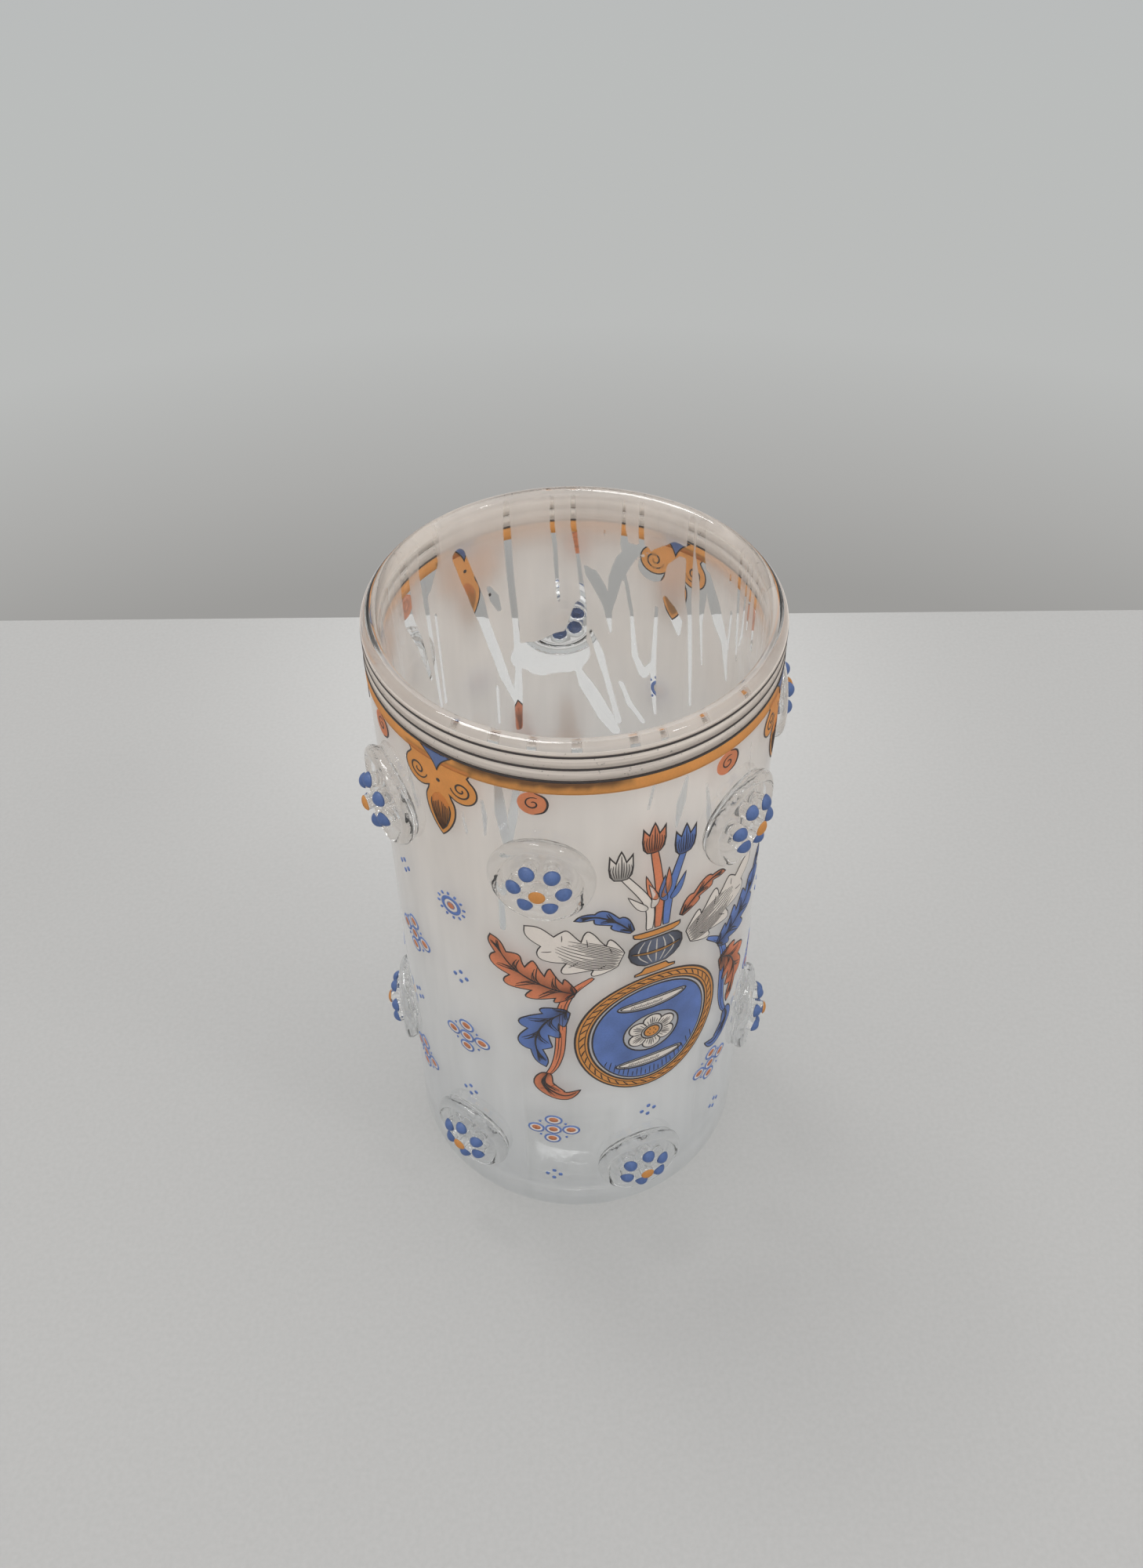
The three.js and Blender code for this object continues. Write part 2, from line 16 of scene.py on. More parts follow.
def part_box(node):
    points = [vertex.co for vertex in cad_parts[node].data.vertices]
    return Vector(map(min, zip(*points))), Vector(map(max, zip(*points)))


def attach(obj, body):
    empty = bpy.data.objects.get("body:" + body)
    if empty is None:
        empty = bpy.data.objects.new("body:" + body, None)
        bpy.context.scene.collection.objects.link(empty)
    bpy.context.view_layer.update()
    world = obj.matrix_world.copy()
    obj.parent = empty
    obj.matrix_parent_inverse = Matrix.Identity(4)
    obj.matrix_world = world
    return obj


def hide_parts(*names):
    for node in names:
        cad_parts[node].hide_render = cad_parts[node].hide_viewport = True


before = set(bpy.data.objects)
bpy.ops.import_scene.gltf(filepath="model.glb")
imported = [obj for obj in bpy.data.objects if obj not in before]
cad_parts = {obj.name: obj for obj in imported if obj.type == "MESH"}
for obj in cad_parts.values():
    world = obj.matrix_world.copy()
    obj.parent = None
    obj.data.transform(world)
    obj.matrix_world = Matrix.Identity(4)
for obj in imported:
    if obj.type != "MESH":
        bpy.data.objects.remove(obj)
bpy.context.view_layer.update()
scene = bpy.context.scene
print("frame nodes:", len(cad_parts))

# %% [markdown]
# ## Sizes
# Measures are in millimetres, as a glassworker notes them, and a piece is scaled to metres last. The wall's
# radius and the rim's height come from the frame. A place on the wall is a turn in degrees (0 faces the
# viewer, 90 the viewer's right) and a height.

# %% Sizes of the vase
MM = 0.001
WALL_THICKNESS, FILM_DEPTH, FLOOR = 3.2, 0.45, 7.0
body_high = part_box("vase_body")[1]
WALL = round(body_high[0] / MM, 2)
RIM = round(body_high[2] / MM, 2)
INNER = WALL - WALL_THICKNESS
FILM = INNER + FILM_DEPTH
UPPER_PRUNTS = [(-62.2, 119.5, -17), (-9.2, 118.7, -3.5), (49.8, 119.9, -10),
                (103, 121.2, 30), (184, 116.2, 37), (-114.5, 120, 0)]
LOWER_PRUNTS = [(-88, 35, 25), (-37.7, 24, 33), (20.6, 21.4, 21), (80, 37.5, 20), (141, 24, 5), (-159, 26, 9)]
PENDANTS = [-38, 73, 146, -143.5, -92]
ROUNDELS = [-63, -11, 43, 109, 179, -116]
print("wall radius", WALL, "rim height", RIM)

# %% [markdown]
# ## Camera, floor and light
# The photograph looks down at the vase by about 45 degrees. Three unit vectors make the camera's rotation,
# which is easier to read than three angles when the camera is also rolled a little.

# %% Camera
CAMERA_PLACE = (-0.774, -202.75, 304.39)
PITCH, ROLL = 0.78064, -0.00942
FOCAL_LENGTH, SENSOR_WIDTH = 32.22, 36


def make_camera():
    forward = Vector((0, cos(PITCH), -sin(PITCH)))
    level = Vector((1, 0, 0))
    upright = level.cross(forward)
    right = level * cos(ROLL) + upright * sin(ROLL)
    up = upright * cos(ROLL) - level * sin(ROLL)
    data = bpy.data.cameras.new("camera")
    data.lens = FOCAL_LENGTH
    data.sensor_width = SENSOR_WIDTH
    data.clip_start = 0.01
    camera = bpy.data.objects.new("camera", data)
    scene.collection.objects.link(camera)
    turn = Matrix((right, up, -forward)).transposed().to_4x4()
    camera.matrix_world = Matrix.Translation(Vector(CAMERA_PLACE) * MM) @ turn
    return camera


scene.camera = make_camera()
scene.view_settings.view_transform = "Standard"
print("camera at", [round(v, 3) for v in scene.camera.location])

# %% [markdown]
# A node tree is written with a few small helpers. `node` adds a node and feeds its inputs, where a node
# given as a source stands for its first output. A value that is the same all over a surface is typed into
# the shader.

# %% Node helpers
def feed(tree, socket, source):
    if isinstance(source, bpy.types.Node):
        source = source.outputs[0]
    if isinstance(source, bpy.types.NodeSocket):
        tree.links.new(source, socket)
    else:
        socket.default_value = source


def node(tree, kind, feeds=None, **settings):
    made = tree.nodes.new("ShaderNode" + kind)
    for key, value in settings.items():
        if hasattr(made, key):
            setattr(made, key, value)
        else:
            feed(tree, made.inputs[key.replace("_", " ")], value)
    for key, source in (feeds or {}).items():
        feed(tree, made.inputs[key], source)
    return made


def maths(tree, operation, first, second):
    return node(tree, "Math", {0: first, 1: second}, operation=operation)


def ranged(tree, source, start, end, low=0.0, high=1.0):
    """Maps start to low and end to high."""
    return node(tree, "MapRange", {0: source, 1: start, 2: end, 3: low, 4: high})


def scaled(tree, colour, share):
    return node(tree, "VectorMath", {0: colour}, operation="SCALE", Scale=share)


def mix(tree, share, first, second):
    return node(tree, "MixShader", {0: share, 1: first, 2: second})


def ramp(tree, source, stops):
    """A colour ramp, in which a plain number is a grey."""
    made = node(tree, "ValToRGB", {0: source})
    line = made.color_ramp
    while len(line.elements) < len(stops):
        line.elements.new(0.5)
    for element, (at, tone) in zip(line.elements, stops):
        element.position = at
        element.color = (*tone, 1) if isinstance(tone, tuple) else (tone, tone, tone, 1)
    return made


def on_piece(tree):
    return node(tree, "TexCoord").outputs["Object"]


def noise(tree, scale, detail):
    return node(tree, "TexNoise", Vector=on_piece(tree), Scale=scale, Detail=detail)


def attribute(tree, label):
    return node(tree, "Attribute", attribute_name=label).outputs["Fac"]


def blank_material(name):
    material = bpy.data.materials.new(name)
    material.use_nodes = True
    material.node_tree.nodes.clear()
    return material, material.node_tree


def show(tree, shader, kind="Material"):
    node(tree, "Output" + kind, Surface=shader)


# %% [markdown]
# The world is soft white and brighter overhead. Two small lamps high above and a wide one behind the camera
# light the vase. A spot lamp makes a paler pool behind it, where clear glass gathers light. A pane of light
# overhead shows only in reflections: it gives the knobs and the rim their glints. Past the floor's far edge,
# the camera and the clear glass see a grey backdrop. It darkens towards its bottom, a painted shadow of the
# table on the wall.

# %% World and lamps
ROOM = [(0.0, 0.62), (0.5, 0.7), (0.68, 0.62), (0.82, 1.0), (1.0, 1.15)]
# The backdrop darkens towards its bottom, by the floor's far edge: painted shadow of the table on the wall.
BACKDROP_WITH_PAINTED_SHADE = [(0.0, (0.315, 0.31, 0.3)), (0.03, (0.335, 0.33, 0.32)), (0.067, (0.41, 0.408, 0.398)),
            (0.118, (0.492, 0.5, 0.492)), (0.207, (0.492, 0.505, 0.498)), (0.268, (0.487, 0.497, 0.5)),
            (0.45, 0.42), (0.53, 0.33), (0.58, 0.85), (1.0, 1.25)]
VASE_MIDDLE = (0, 0, 0.08)


def make_world():
    world = bpy.data.worlds.new("room")
    scene.world = world
    world.use_nodes = True
    tree = world.node_tree
    tree.nodes.clear()
    rise = node(tree, "SeparateXYZ", {0: node(tree, "TexCoord").outputs["Generated"]}).outputs["Z"]
    room = ramp(tree, ranged(tree, rise, -1.0, 1.0), ROOM)
    wall = ramp(tree, ranged(tree, rise, -0.64, 1.0), BACKDROP_WITH_PAINTED_SHADE)
    path = node(tree, "LightPath")
    seen = maths(tree, "MAXIMUM", path.outputs["Is Camera Ray"], path.outputs["Is Transmission Ray"])
    light = node(tree, "Background", Color=room, Strength=0.95)
    backdrop = node(tree, "Background", Color=wall, Strength=1.0)
    show(tree, mix(tree, seen, light, backdrop), "World")


def lamp(name, kind, place, power, target=VASE_MIDDLE, **settings):
    data = bpy.data.lights.new(name, kind)
    data.energy = power
    for key, value in settings.items():
        setattr(data, key, value)
    made = bpy.data.objects.new(name, data)
    scene.collection.objects.link(made)
    made.location = place
    made.rotation_euler = (Vector(target) - Vector(place)).to_track_quat("-Z", "Y").to_euler()
    return made


make_world()
lamp("ceiling_lamp", "AREA", (-0.3, 0.35, 1.0), 1.1, size=0.16)
lamp("window_lamp", "AREA", (0.6, -0.35, 0.85), 0.7, size=0.12)
lamp("room_lamp", "AREA", (-0.1, -0.8, 0.6), 0.8, size=0.6)
lamp("pool_lamp", "SPOT", (0, 0.55, 0.75), 9.5, (0, 0.15, 0),
     spot_size=radians(17), spot_blend=1.0, shadow_soft_size=0.05)
pane = lamp("window_pane", "AREA", (-0.2, 0.1, 1.0), 4.5, size=0.36)
pane.visible_diffuse = False
print("world and lamps ready")

# %% [markdown]
# The floor is one pale sheet. Its far edge lies a little behind the vase, so that the clear rim stands
# against the backdrop.

# %% Floor
TABLE_EDGE = 0.1886
TABLE_WIDTH, TABLE_DEPTH = 2.4, 1.2


def new_object(name, bm, materials=()):
    mesh = bpy.data.meshes.new(name)
    bm.to_mesh(mesh)
    bm.free()
    for material in materials:
        mesh.materials.append(material)
    made = bpy.data.objects.new(name, mesh)
    scene.collection.objects.link(made)
    return made


def make_floor():
    material, tree = blank_material("pale_floor")
    tone = ramp(tree, noise(tree, 900.0, 3.0), [(0.3, (0.452, 0.448, 0.438)), (0.7, (0.478, 0.474, 0.464))])
    show(tree, node(tree, "BsdfPrincipled", Base_Color=tone, Roughness=0.85))
    bm = bmesh.new()
    bmesh.ops.create_grid(bm, x_segments=4, y_segments=4, size=0.5)
    bmesh.ops.scale(bm, vec=(TABLE_WIDTH, TABLE_DEPTH, 1), verts=bm.verts)
    bmesh.ops.translate(bm, vec=(0, TABLE_EDGE - TABLE_DEPTH / 2, 0), verts=bm.verts)
    floor = new_object("floor", bm, [material])


make_floor()
print("floor ready")

# %% [markdown]
# ## Finishes
# Two effects that many finishes use are node groups, built once. `fired_tone` breaks up a flat paint colour
# with soft clouds and fine specks. `drawn_streaks` gives upright streaks where molten glass is drawn out,
# and level ones where a brush goes round. Its stretch says how much faster it changes with height than
# sideways.

# %% Shared effects
def new_group(name, inputs, outputs):
    """Inputs come as labels with their defaults, outputs as labels with their kinds."""
    group = bpy.data.node_groups.new(name, "ShaderNodeTree")
    for label, default in inputs.items():
        kind = "Float" if isinstance(default, float) else "Color"
        socket = group.interface.new_socket(name=label, in_out="INPUT", socket_type="NodeSocket" + kind)
        socket.default_value = default
    for label, kind in outputs.items():
        group.interface.new_socket(name=label, in_out="OUTPUT", socket_type="NodeSocket" + kind)
    return group, group.nodes.new("NodeGroupInput").outputs, group.nodes.new("NodeGroupOutput").inputs


def make_fired_tone():
    group, given, result = new_group(
        "fired_tone", {"Colour": (0.5, 0.5, 0.5, 1), "Depth": 0.2, "Cloud Size": 260.0},
        {"Colour": "Color", "Gloss": "Float", "Relief": "Float"})
    speck = noise(group, 2600.0, 2.0)
    both = maths(group, "ADD", noise(group, given["Cloud Size"], 4.0), speck)
    swing = maths(group, "MULTIPLY", maths(group, "SUBTRACT", both, 1.0), given["Depth"])
    feed(group, result["Colour"], scaled(group, given["Colour"], maths(group, "ADD", swing, 1.0)))
    feed(group, result["Gloss"], ranged(group, speck, 0.0, 1.0, 0.32, 0.55))
    feed(group, result["Relief"], both)
    return group


def make_drawn_streaks():
    group, given, result = new_group("drawn_streaks", {"Width": 300.0, "Stretch": 0.08}, {"Streak": "Float"})
    axes = node(group, "SeparateXYZ", {0: on_piece(group)}).outputs
    tall = maths(group, "MULTIPLY", axes["Z"], given["Stretch"])
    drawn = node(group, "CombineXYZ", {0: axes["X"], 1: axes["Y"], 2: tall})
    feed(group, result["Streak"],
         node(group, "TexNoise", Vector=drawn, Scale=given["Width"], Detail=3.0, Roughness=0.55))
    return group


FIRED_TONE = make_fired_tone()
DRAWN_STREAKS = make_drawn_streaks()


def streaks(tree, width, stretch):
    return node(tree, "Group", node_tree=DRAWN_STREAKS, Width=width, Stretch=stretch)


print("node groups:", FIRED_TONE.name, DRAWN_STREAKS.name)

# %% [markdown]
# Clear glass is a Principled shader with full transmission. Light Path lets lamp light and soft bounced
# light pass straight through, which keeps shadows as pale as real glass has. A bump stands for the slight
# waves of a hand-blown wall and the livelier ones of the prunts.

# %% Clear glass
def passing_light(tree):
    """1 for lamp light and soft bounced light, 0 for all other rays."""
    path = node(tree, "LightPath")
    return maths(tree, "MAXIMUM", path.outputs["Is Shadow Ray"], path.outputs["Is Diffuse Ray"])


def clear_glass(name, tint, width, wave):
    material, tree = blank_material(name)
    bump = node(tree, "Bump", Height=streaks(tree, width, 0.35), Strength=wave, Distance=0.002)
    glass = node(tree, "BsdfPrincipled", Normal=bump, Base_Color=(*tint, 1), Roughness=0.015, IOR=1.5,
                 Transmission_Weight=1.0)
    through = node(tree, "BsdfTransparent", Color=(0.975, 0.98, 0.98, 1))
    show(tree, mix(tree, passing_light(tree), glass, through))
    return material


WALL_GLASS = clear_glass("wall_glass", (0.985, 0.99, 0.988), 60.0, 0.1)
PRUNT_GLASS = clear_glass("prunt_glass", (0.957, 0.955, 0.95), 200.0, 0.22)
print("clear glass ready")

# %% [markdown]
# The milky layer scatters light, half back and half on, so it mixes a matt shader with Translucent. Its mesh
# carries two attributes: `clear_by` says how many millimetres a point lies inside the milk or, below zero,
# inside a clear gap, so the edge of a gap stays sharp, and `veil` thins the milk softly. The layer is warmer
# near the rim, where it was reheated most, and its tone grows darker towards the foot. Real milk glass
# scatters mostly forwards, so over half of any lamp light or bounced light goes straight on.

# %% Milky glass
# The tint is warmer near the rim and darker towards the foot.
MILK_TINTS = [(0.0, (0.69, 0.7, 0.71)), (0.15, (0.78, 0.785, 0.79)), (0.4, (0.86, 0.85, 0.835)),
              (0.75, (0.885, 0.82, 0.76)), (1.0, (0.905, 0.845, 0.79))]


def milky_glass():
    material, tree = blank_material("milky_layer")
    fine, broad = streaks(tree, 420.0, 0.06), streaks(tree, 75.0, 0.22)
    inside = maths(tree, "ADD", attribute(tree, "clear_by"), ranged(tree, fine, 0.3, 0.7, -0.12, 0.12))
    depth = ranged(tree, broad, 0.3, 0.65, 0.92, 0.99)
    milk = maths(tree, "MULTIPLY", ranged(tree, inside, -0.08, 0.16), depth)
    thinned = maths(tree, "MULTIPLY", milk, attribute(tree, "veil"))
    height = node(tree, "SeparateXYZ", {0: on_piece(tree)}).outputs["Z"]
    tint = ramp(tree, ranged(tree, height, 0.0, RIM * MM), MILK_TINTS)
    both = maths(tree, "ADD", ranged(tree, fine, 0.0, 1.0, 0.0, 0.35), broad)
    tone = scaled(tree, tint, ranged(tree, both, 0.48, 0.88, 0.9, 1.0))
    back = node(tree, "BsdfPrincipled", Base_Color=tone, Roughness=0.6, Specular_IOR_Level=0.0)
    onward = node(tree, "BsdfTranslucent", Color=tone)
    kept = ranged(tree, passing_light(tree), 0.0, 1.0, 1.0, 0.4)
    seen = maths(tree, "MULTIPLY", thinned, kept)
    show(tree, mix(tree, seen, node(tree, "BsdfTransparent"), mix(tree, 0.5, back, onward)))
    return material


MILKY = milky_glass()
print("milky layer ready")

# %% [markdown]
# Enamel is ground coloured glass, painted on and fired, so it is glossy, slightly uneven, and thin enough to
# glow with light from behind: about half of it is Translucent, in a paler tone. The attribute `shade` on a
# painted shape says where the painter's darker second colour lies.

# %% Enamels
def enamel(name, colour, dark=(0.03, 0.022, 0.022), depth=0.2, glow=0.5, clouds=260.0):
    material, tree = blank_material(name)
    toned = node(tree, "Group", node_tree=FIRED_TONE, Colour=(*colour, 1), Depth=depth, Cloud_Size=clouds)
    shade = attribute(tree, "shade")
    blend = node(tree, "Mix", {0: shade, 6: toned, 7: (*dark, 1)}, data_type="RGBA").outputs[2]
    bump = node(tree, "Bump", Height=toned.outputs["Relief"], Strength=0.25, Distance=0.0002)
    coat = node(tree, "BsdfPrincipled", Base_Color=blend, Roughness=toned.outputs["Gloss"], Normal=bump)
    back = node(tree, "BsdfTranslucent", Color=node(tree, "Gamma", Color=blend, Gamma=0.6))
    show(tree, mix(tree, glow, coat, back))
    return material


PAINTS = {
    "ink": enamel("ink_enamel", (0.036, 0.028, 0.027), depth=0.5, glow=0.03),
    "ochre": enamel("ochre_enamel", (0.86, 0.44, 0.145), (0.15, 0.085, 0.055), depth=0.25, glow=0.6),
    "blue": enamel("blue_enamel", (0.2, 0.31, 0.65), (0.09, 0.11, 0.21), depth=0.4),
    "dot_blue": enamel("dot_blue_enamel", (0.115, 0.19, 0.42), depth=0.5, glow=0.3, clouds=420.0),
    "brick": enamel("brick_enamel", (0.86, 0.36, 0.2), (0.24, 0.095, 0.065), depth=0.4, glow=0.6),
    "salmon": enamel("salmon_enamel", (0.78, 0.34, 0.18), (0.3, 0.1, 0.06), depth=0.25, glow=0.6),
    "white": enamel("white_enamel", (0.9, 0.835, 0.77), (0.15, 0.14, 0.13), depth=0.12, glow=0.35),
    "steel": enamel("steel_enamel", (0.17, 0.19, 0.26), (0.02, 0.018, 0.02), depth=0.5, glow=0.2),
}
print("enamels:", ", ".join(PAINTS))

# %% [markdown]
# The pale bands under the rim were laid with a broad brush while the vase turned, so their enamel has level
# brush lines and small dark specks of its own.

# %% Brushed band
def brushed_band():
    material, tree = blank_material("brushed_band_enamel")
    tone = ramp(tree, streaks(tree, 45.0, 70.0), [(0.32, (0.76, 0.7, 0.65)), (0.62, (0.92, 0.86, 0.8))])
    colour = scaled(tree, tone, ranged(tree, noise(tree, 1500.0, 1.0), 0.69, 0.76, 1.0, 0.6))
    coat = node(tree, "BsdfPrincipled", Base_Color=colour, Roughness=0.45)
    show(tree, mix(tree, 0.5, coat, node(tree, "BsdfTranslucent", Color=colour)))
    return material


PAINTS["band"] = brushed_band()
print("brushed band ready")

# %% [markdown]
# ## From a form to a piece
# Every piece is scaled to metres, stays at the origin, rides on the CAD body and hides the CAD nodes that it
# stands for.

# %% Finishing a piece
def piece(name, bm, paints, nodes=()):
    bmesh.ops.scale(bm, vec=(MM, MM, MM), verts=bm.verts)
    made = new_object(name, bm, paints)
    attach(made, "root")
    if nodes:
        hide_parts(*nodes)
    return made


def smooth_faces(bm):
    for face in bm.faces:
        face.smooth = True


def mark(bm, label, values):
    """Store one number on each vertex, which a material can read as an attribute."""
    field = bm.verts.layers.float.new(label)
    for vert, value in zip(bm.verts, values):
        vert[field] = value


def spun(profile, steps, closed=True):
    """A profile of (radius, height) turned about the axis; it closes unless it starts on the axis."""
    bm = bmesh.new()
    verts = [bm.verts.new((radius, 0, height)) for radius, height in profile]
    edges = [bm.edges.new(pair) for pair in zip(verts, verts[1:])]
    if closed and profile[0][0] > 0:
        edges.append(bm.edges.new((verts[-1], verts[0])))
    bmesh.ops.spin(bm, geom=verts + edges, cent=(0, 0, 0), axis=(0, 0, 1), angle=2 * pi, steps=steps,
                   use_merge=True)
    bmesh.ops.remove_doubles(bm, verts=bm.verts, dist=1e-4)
    bmesh.ops.recalc_face_normals(bm, faces=bm.faces)
    smooth_faces(bm)
    return bm


def arc(centre, radius, start, end, steps):
    turns = [radians(start + (end - start) * i / steps) for i in range(steps + 1)]
    return [(centre[0] + radius * cos(a), centre[1] + radius * sin(a)) for a in turns]


def joined(forms):
    whole = bmesh.new()
    for form in forms:
        mesh = bpy.data.meshes.new("part")
        form.to_mesh(mesh)
        form.free()
        whole.from_mesh(mesh)
        bpy.data.meshes.remove(mesh)
    return whole


# %% [markdown]
# ## The beaker
# A gaffer blows and turns this form about one axis, so it is a spin of one profile, which runs from the
# shallow hollow under the foot, round the foot, up the wall, over the fire-polished rim and down inside.
# Close pairs of points keep the resting ring crisp under smooth shading.

# %% Beaker
rim_centre = ((WALL + INNER) / 2, RIM - (WALL - INNER) / 2)
beaker_profile = [
    (0, 1.7), (14, 1.65), (22, 1.5), (25.5, 1.1), (27.4, 0.5), (28.4, 0.12),
    (28.9, 0.0), (29.3, 0.0), (34.0, 0.0),
    *arc((WALL - 4, 4.0), 4.0, -88, 0, 10),
    (WALL, 4.6), (WALL, 40), (WALL, 80), (WALL, 120), (WALL, rim_centre[1] - 0.8),
    *arc(rim_centre, (WALL - INNER) / 2, 0, 180, 14),
    (INNER, rim_centre[1] - 0.8), (INNER, 110), (INNER, 70), (INNER, 30), (INNER, FLOOR + 4.2),
    *arc((INNER - 4, FLOOR + 4), 4.0, 0, -88, 8),
    (INNER - 4.5, FLOOR), (16, FLOOR + 0.05), (0, FLOOR + 0.1),
]
beaker = piece("beaker", spun(beaker_profile, 192), [WALL_GLASS], ["vase_body"])
print("beaker faces:", len(beaker.data.polygons))

# %% [markdown]
# ## The milky streaks
# The gatherer rolls the clear bubble over white glass, which tears into upright streaks as the wall
# stretches. Each clear gap is a short path of (turn, height, width); the film's mesh stores the distance to
# the nearest one. A gap that starts at `TALL` goes on, thinner, up to the rim.

# %% Clear gaps
FAR_GAPS = [
    [(-114.5, 142, 3.1), (-114.5, 134.5, 3.1), (-119.5, 126.3, 1.9), (-123.5, 115, 0.6)],
    [(-127, 142, 5.6), (-125.5, 137.5, 3.0), (-124.3, 135.6, 1.2), (-126, 118.8, 0.8), (-127.3, 106, 0.8)],
    [(-128.4, 130, 0.6), (-129.5, 106, 0.7)],
    [(-140.1, 140.6, 3.1), (-146.1, 127.5, 3.1), (-147.9, 122.5, 2.3), (-154.6, 105.6, 1.9), (-158.1, 98, 1.0)],
    [(-150.6, 130, 0.8), (-152.3, 126.9, 2.0), (-154, 123.6, 0.8)],
    [(-158.2, 142, 1.5), (-158.6, 131, 1.4), (-159.7, 118.8, 1.3), (-160, 106, 1.3), (-159.5, 100, 1.9),
     (-159.5, 89, 1.5)],
    [(-163, 109.5, 7.0), (-170, 108, 10.0), (-176.5, 109, 11.5), (-178.5, 109, 7.0)],
    [(177.8, 121.5, 2.5), (179, 115, 4.5), (181.5, 109, 7.0)],
    [(-173.3, 142, 0.9), (-174, 137.5, 0.8), (-175, 123, 0.6)],
    [(179.9, 142, 1.1), (178.3, 133.8, 0.6), (176.7, 123.8, 1.0), (177.1, 120, 2.2), (178.7, 115, 3.1)],
    [(176.1, 132, 0.3), (173.8, 130, 2.5), (170.8, 126.3, 2.6), (168.3, 122.5, 1.9), (167, 115, 0.4)],
    [(155.3, 138.2, 1.5), (159.8, 137.2, 3.2), (163.3, 133.8, 3.4), (165.8, 129.4, 2.9), (167.6, 120.6, 1.0)],
    [(162.8, 131.3, 0.6), (159.7, 121.3, 0.6), (158.2, 110, 1.4), (154.8, 105.3, 2.0), (151.5, 108.8, 1.2)],
    [(150.8, 124.4, 0.5), (151, 110, 1.2), (150.8, 102.5, 1.3), (149.5, 95, 0.5)],
    [(153, 134, 6.2), (150.5, 137, 4.0), (144.5, 140.6, 3.0), (140.5, 140.6, 2.8)],
    [(139.4, 142, 1.7), (139, 130.5, 1.6), (137.7, 125, 1.0), (136.5, 115, 1.0), (135.2, 102, 0.5)],
    [(135.3, 142, 2.4), (132.8, 134.4, 2.0), (133, 126, 0.6), (131.2, 115, 0.3)],
    [(131.8, 138.1, 1.6), (127.3, 131.9, 3.4), (124.7, 128.4, 3.4), (121.2, 125, 2.2), (118.5, 116.3, 0.4)],
    [(118.9, 133.8, 0.5), (119.3, 123.8, 0.5)],
    [(147.8, 127.5, 1.2), (145.6, 125.3, 2.6), (143, 123.1, 2.9), (141.8, 119.4, 0.6)],
    [(174.1, 115, 0.7), (170.8, 108.8, 1.6), (168.8, 103.8, 1.2), (163.6, 90, 1.5)],
    [(178.3, 103.8, 1.5), (175.8, 100, 3.0), (168.8, 91.3, 3.6), (164.8, 86.9, 2.5)],
    [(163, 101.3, 1.2), (161.3, 98.8, 1.0), (159.3, 95.6, 1.6), (154.3, 91.6, 1.2)],
    [(116.2, 142, 0.9), (114.7, 128.8, 0.7), (113.7, 123.8, 0.4)],
    [(111.9, 142, 0.5), (111.9, 131.3, 0.9), (113.2, 127.5, 0.5)],
    [(109, 142, 0.5), (109.2, 133.8, 0.5)],
    [(105, 142, 1.2), (104.5, 131, 0.5)],
    [(163.3, 142, 0.9), (162.8, 138, 2.0)],
    [(157.3, 142, 1.2), (156.8, 138, 1.2)],
    [(169.5, 141.5, 0.25), (169.5, 139.5, 0.25)],
    [(121, 141.8, 0.25), (121, 140, 0.25)],
    [(-151.7, 103, 0.45), (-151.7, 92, 0.45)],
]
NEAR_GAPS = [
    [(-21.3, 142, 0.7), (-20.5, 131, 2.0), (-19, 121, 0.8)],
    [(-15.2, 141, 0.9), (-17, 131, 1.4), (-18.4, 123, 0.3)],
    [(-26, 133, 0.5), (-25.3, 129, 0.9), (-25.6, 124, 0.3)],
    [(-21.8, 114, 0.9), (-21.9, 100, 1.1)],
    [(-32.5, 128, 0.3), (-31.5, 123, 0.6)],
    [(21.5, 140, 0.4), (19.5, 132, 0.5)],
    [(30.8, 137, 0.4), (29.4, 131, 1.6), (28.2, 125, 0.2)],
    [(37.5, 133, 0.4), (39.5, 124, 1.0), (41, 118, 0.4)],
    [(-53, 134, 0.5), (-51.5, 127, 1.0), (-50, 122, 0.4)],
]
TALL = 142
RIM_END = 148.6
NEAR_RIM = [(-33.5, 1.2), (-21.7, 1.8), (-11.4, 1.6), (0.3, 1.5), (15.4, 1.5), (23.5, 1.0),
            (36.0, 1.3), (52.0, 1.6)]


def to_the_rim(gap):
    turn, height, width = gap[0]
    return [(turn, RIM_END, 0.7 * width), *gap] if height == TALL else gap


def scattered_gaps(count):
    """Thin streaks on the sides that the photograph shows only edge on."""
    draw = random.Random(11)
    gaps = []
    for _ in range(count):
        turn = draw.choice((draw.uniform(55, 100), draw.uniform(-105, -66), draw.uniform(105, 250)))
        high = draw.uniform(50, 86) if turn > 105 else draw.uniform(60, 138)
        length = draw.uniform(18, 42)
        width = draw.uniform(0.5, 1.5)
        lean = draw.uniform(-3, 3)
        middle = (turn + lean / 2, high - length / 2, width)
        gaps.append([(turn, high, 0.1), middle, (turn + lean, high - length, 0.1)])
    return gaps


GAPS = [to_the_rim(gap) for gap in FAR_GAPS + NEAR_GAPS] + scattered_gaps(24)
GAPS += [[(turn, RIM_END, width), (turn, 139.8, width)] for turn, width in NEAR_RIM]
print("clear gaps:", len(GAPS))

# %% [markdown]
# Low on the front the milk thins out to a soft window with one straight edge. It is thinner all over near
# the foot, where the floor shows faintly, and near the rim, where the painted rings do. A thin patch is
# (first turn, last turn, low, high, share of the milk that is lost).

# %% Milky film
THIN_PATCHES = [(-18.5, 16, 9, 47, 0.34), (-18.5, -13, 42, 64, 0.14), (24, 34, 100, 124, 0.1),
                (44, 58, 14, 60, 0.2), (-133, -66, 139, 156, 0.5), (96, 140, 139, 156, 0.35)]


def swing(turns, turn):
    return np.degrees((np.radians(turns - turn) + pi) % (2 * pi) - pi)


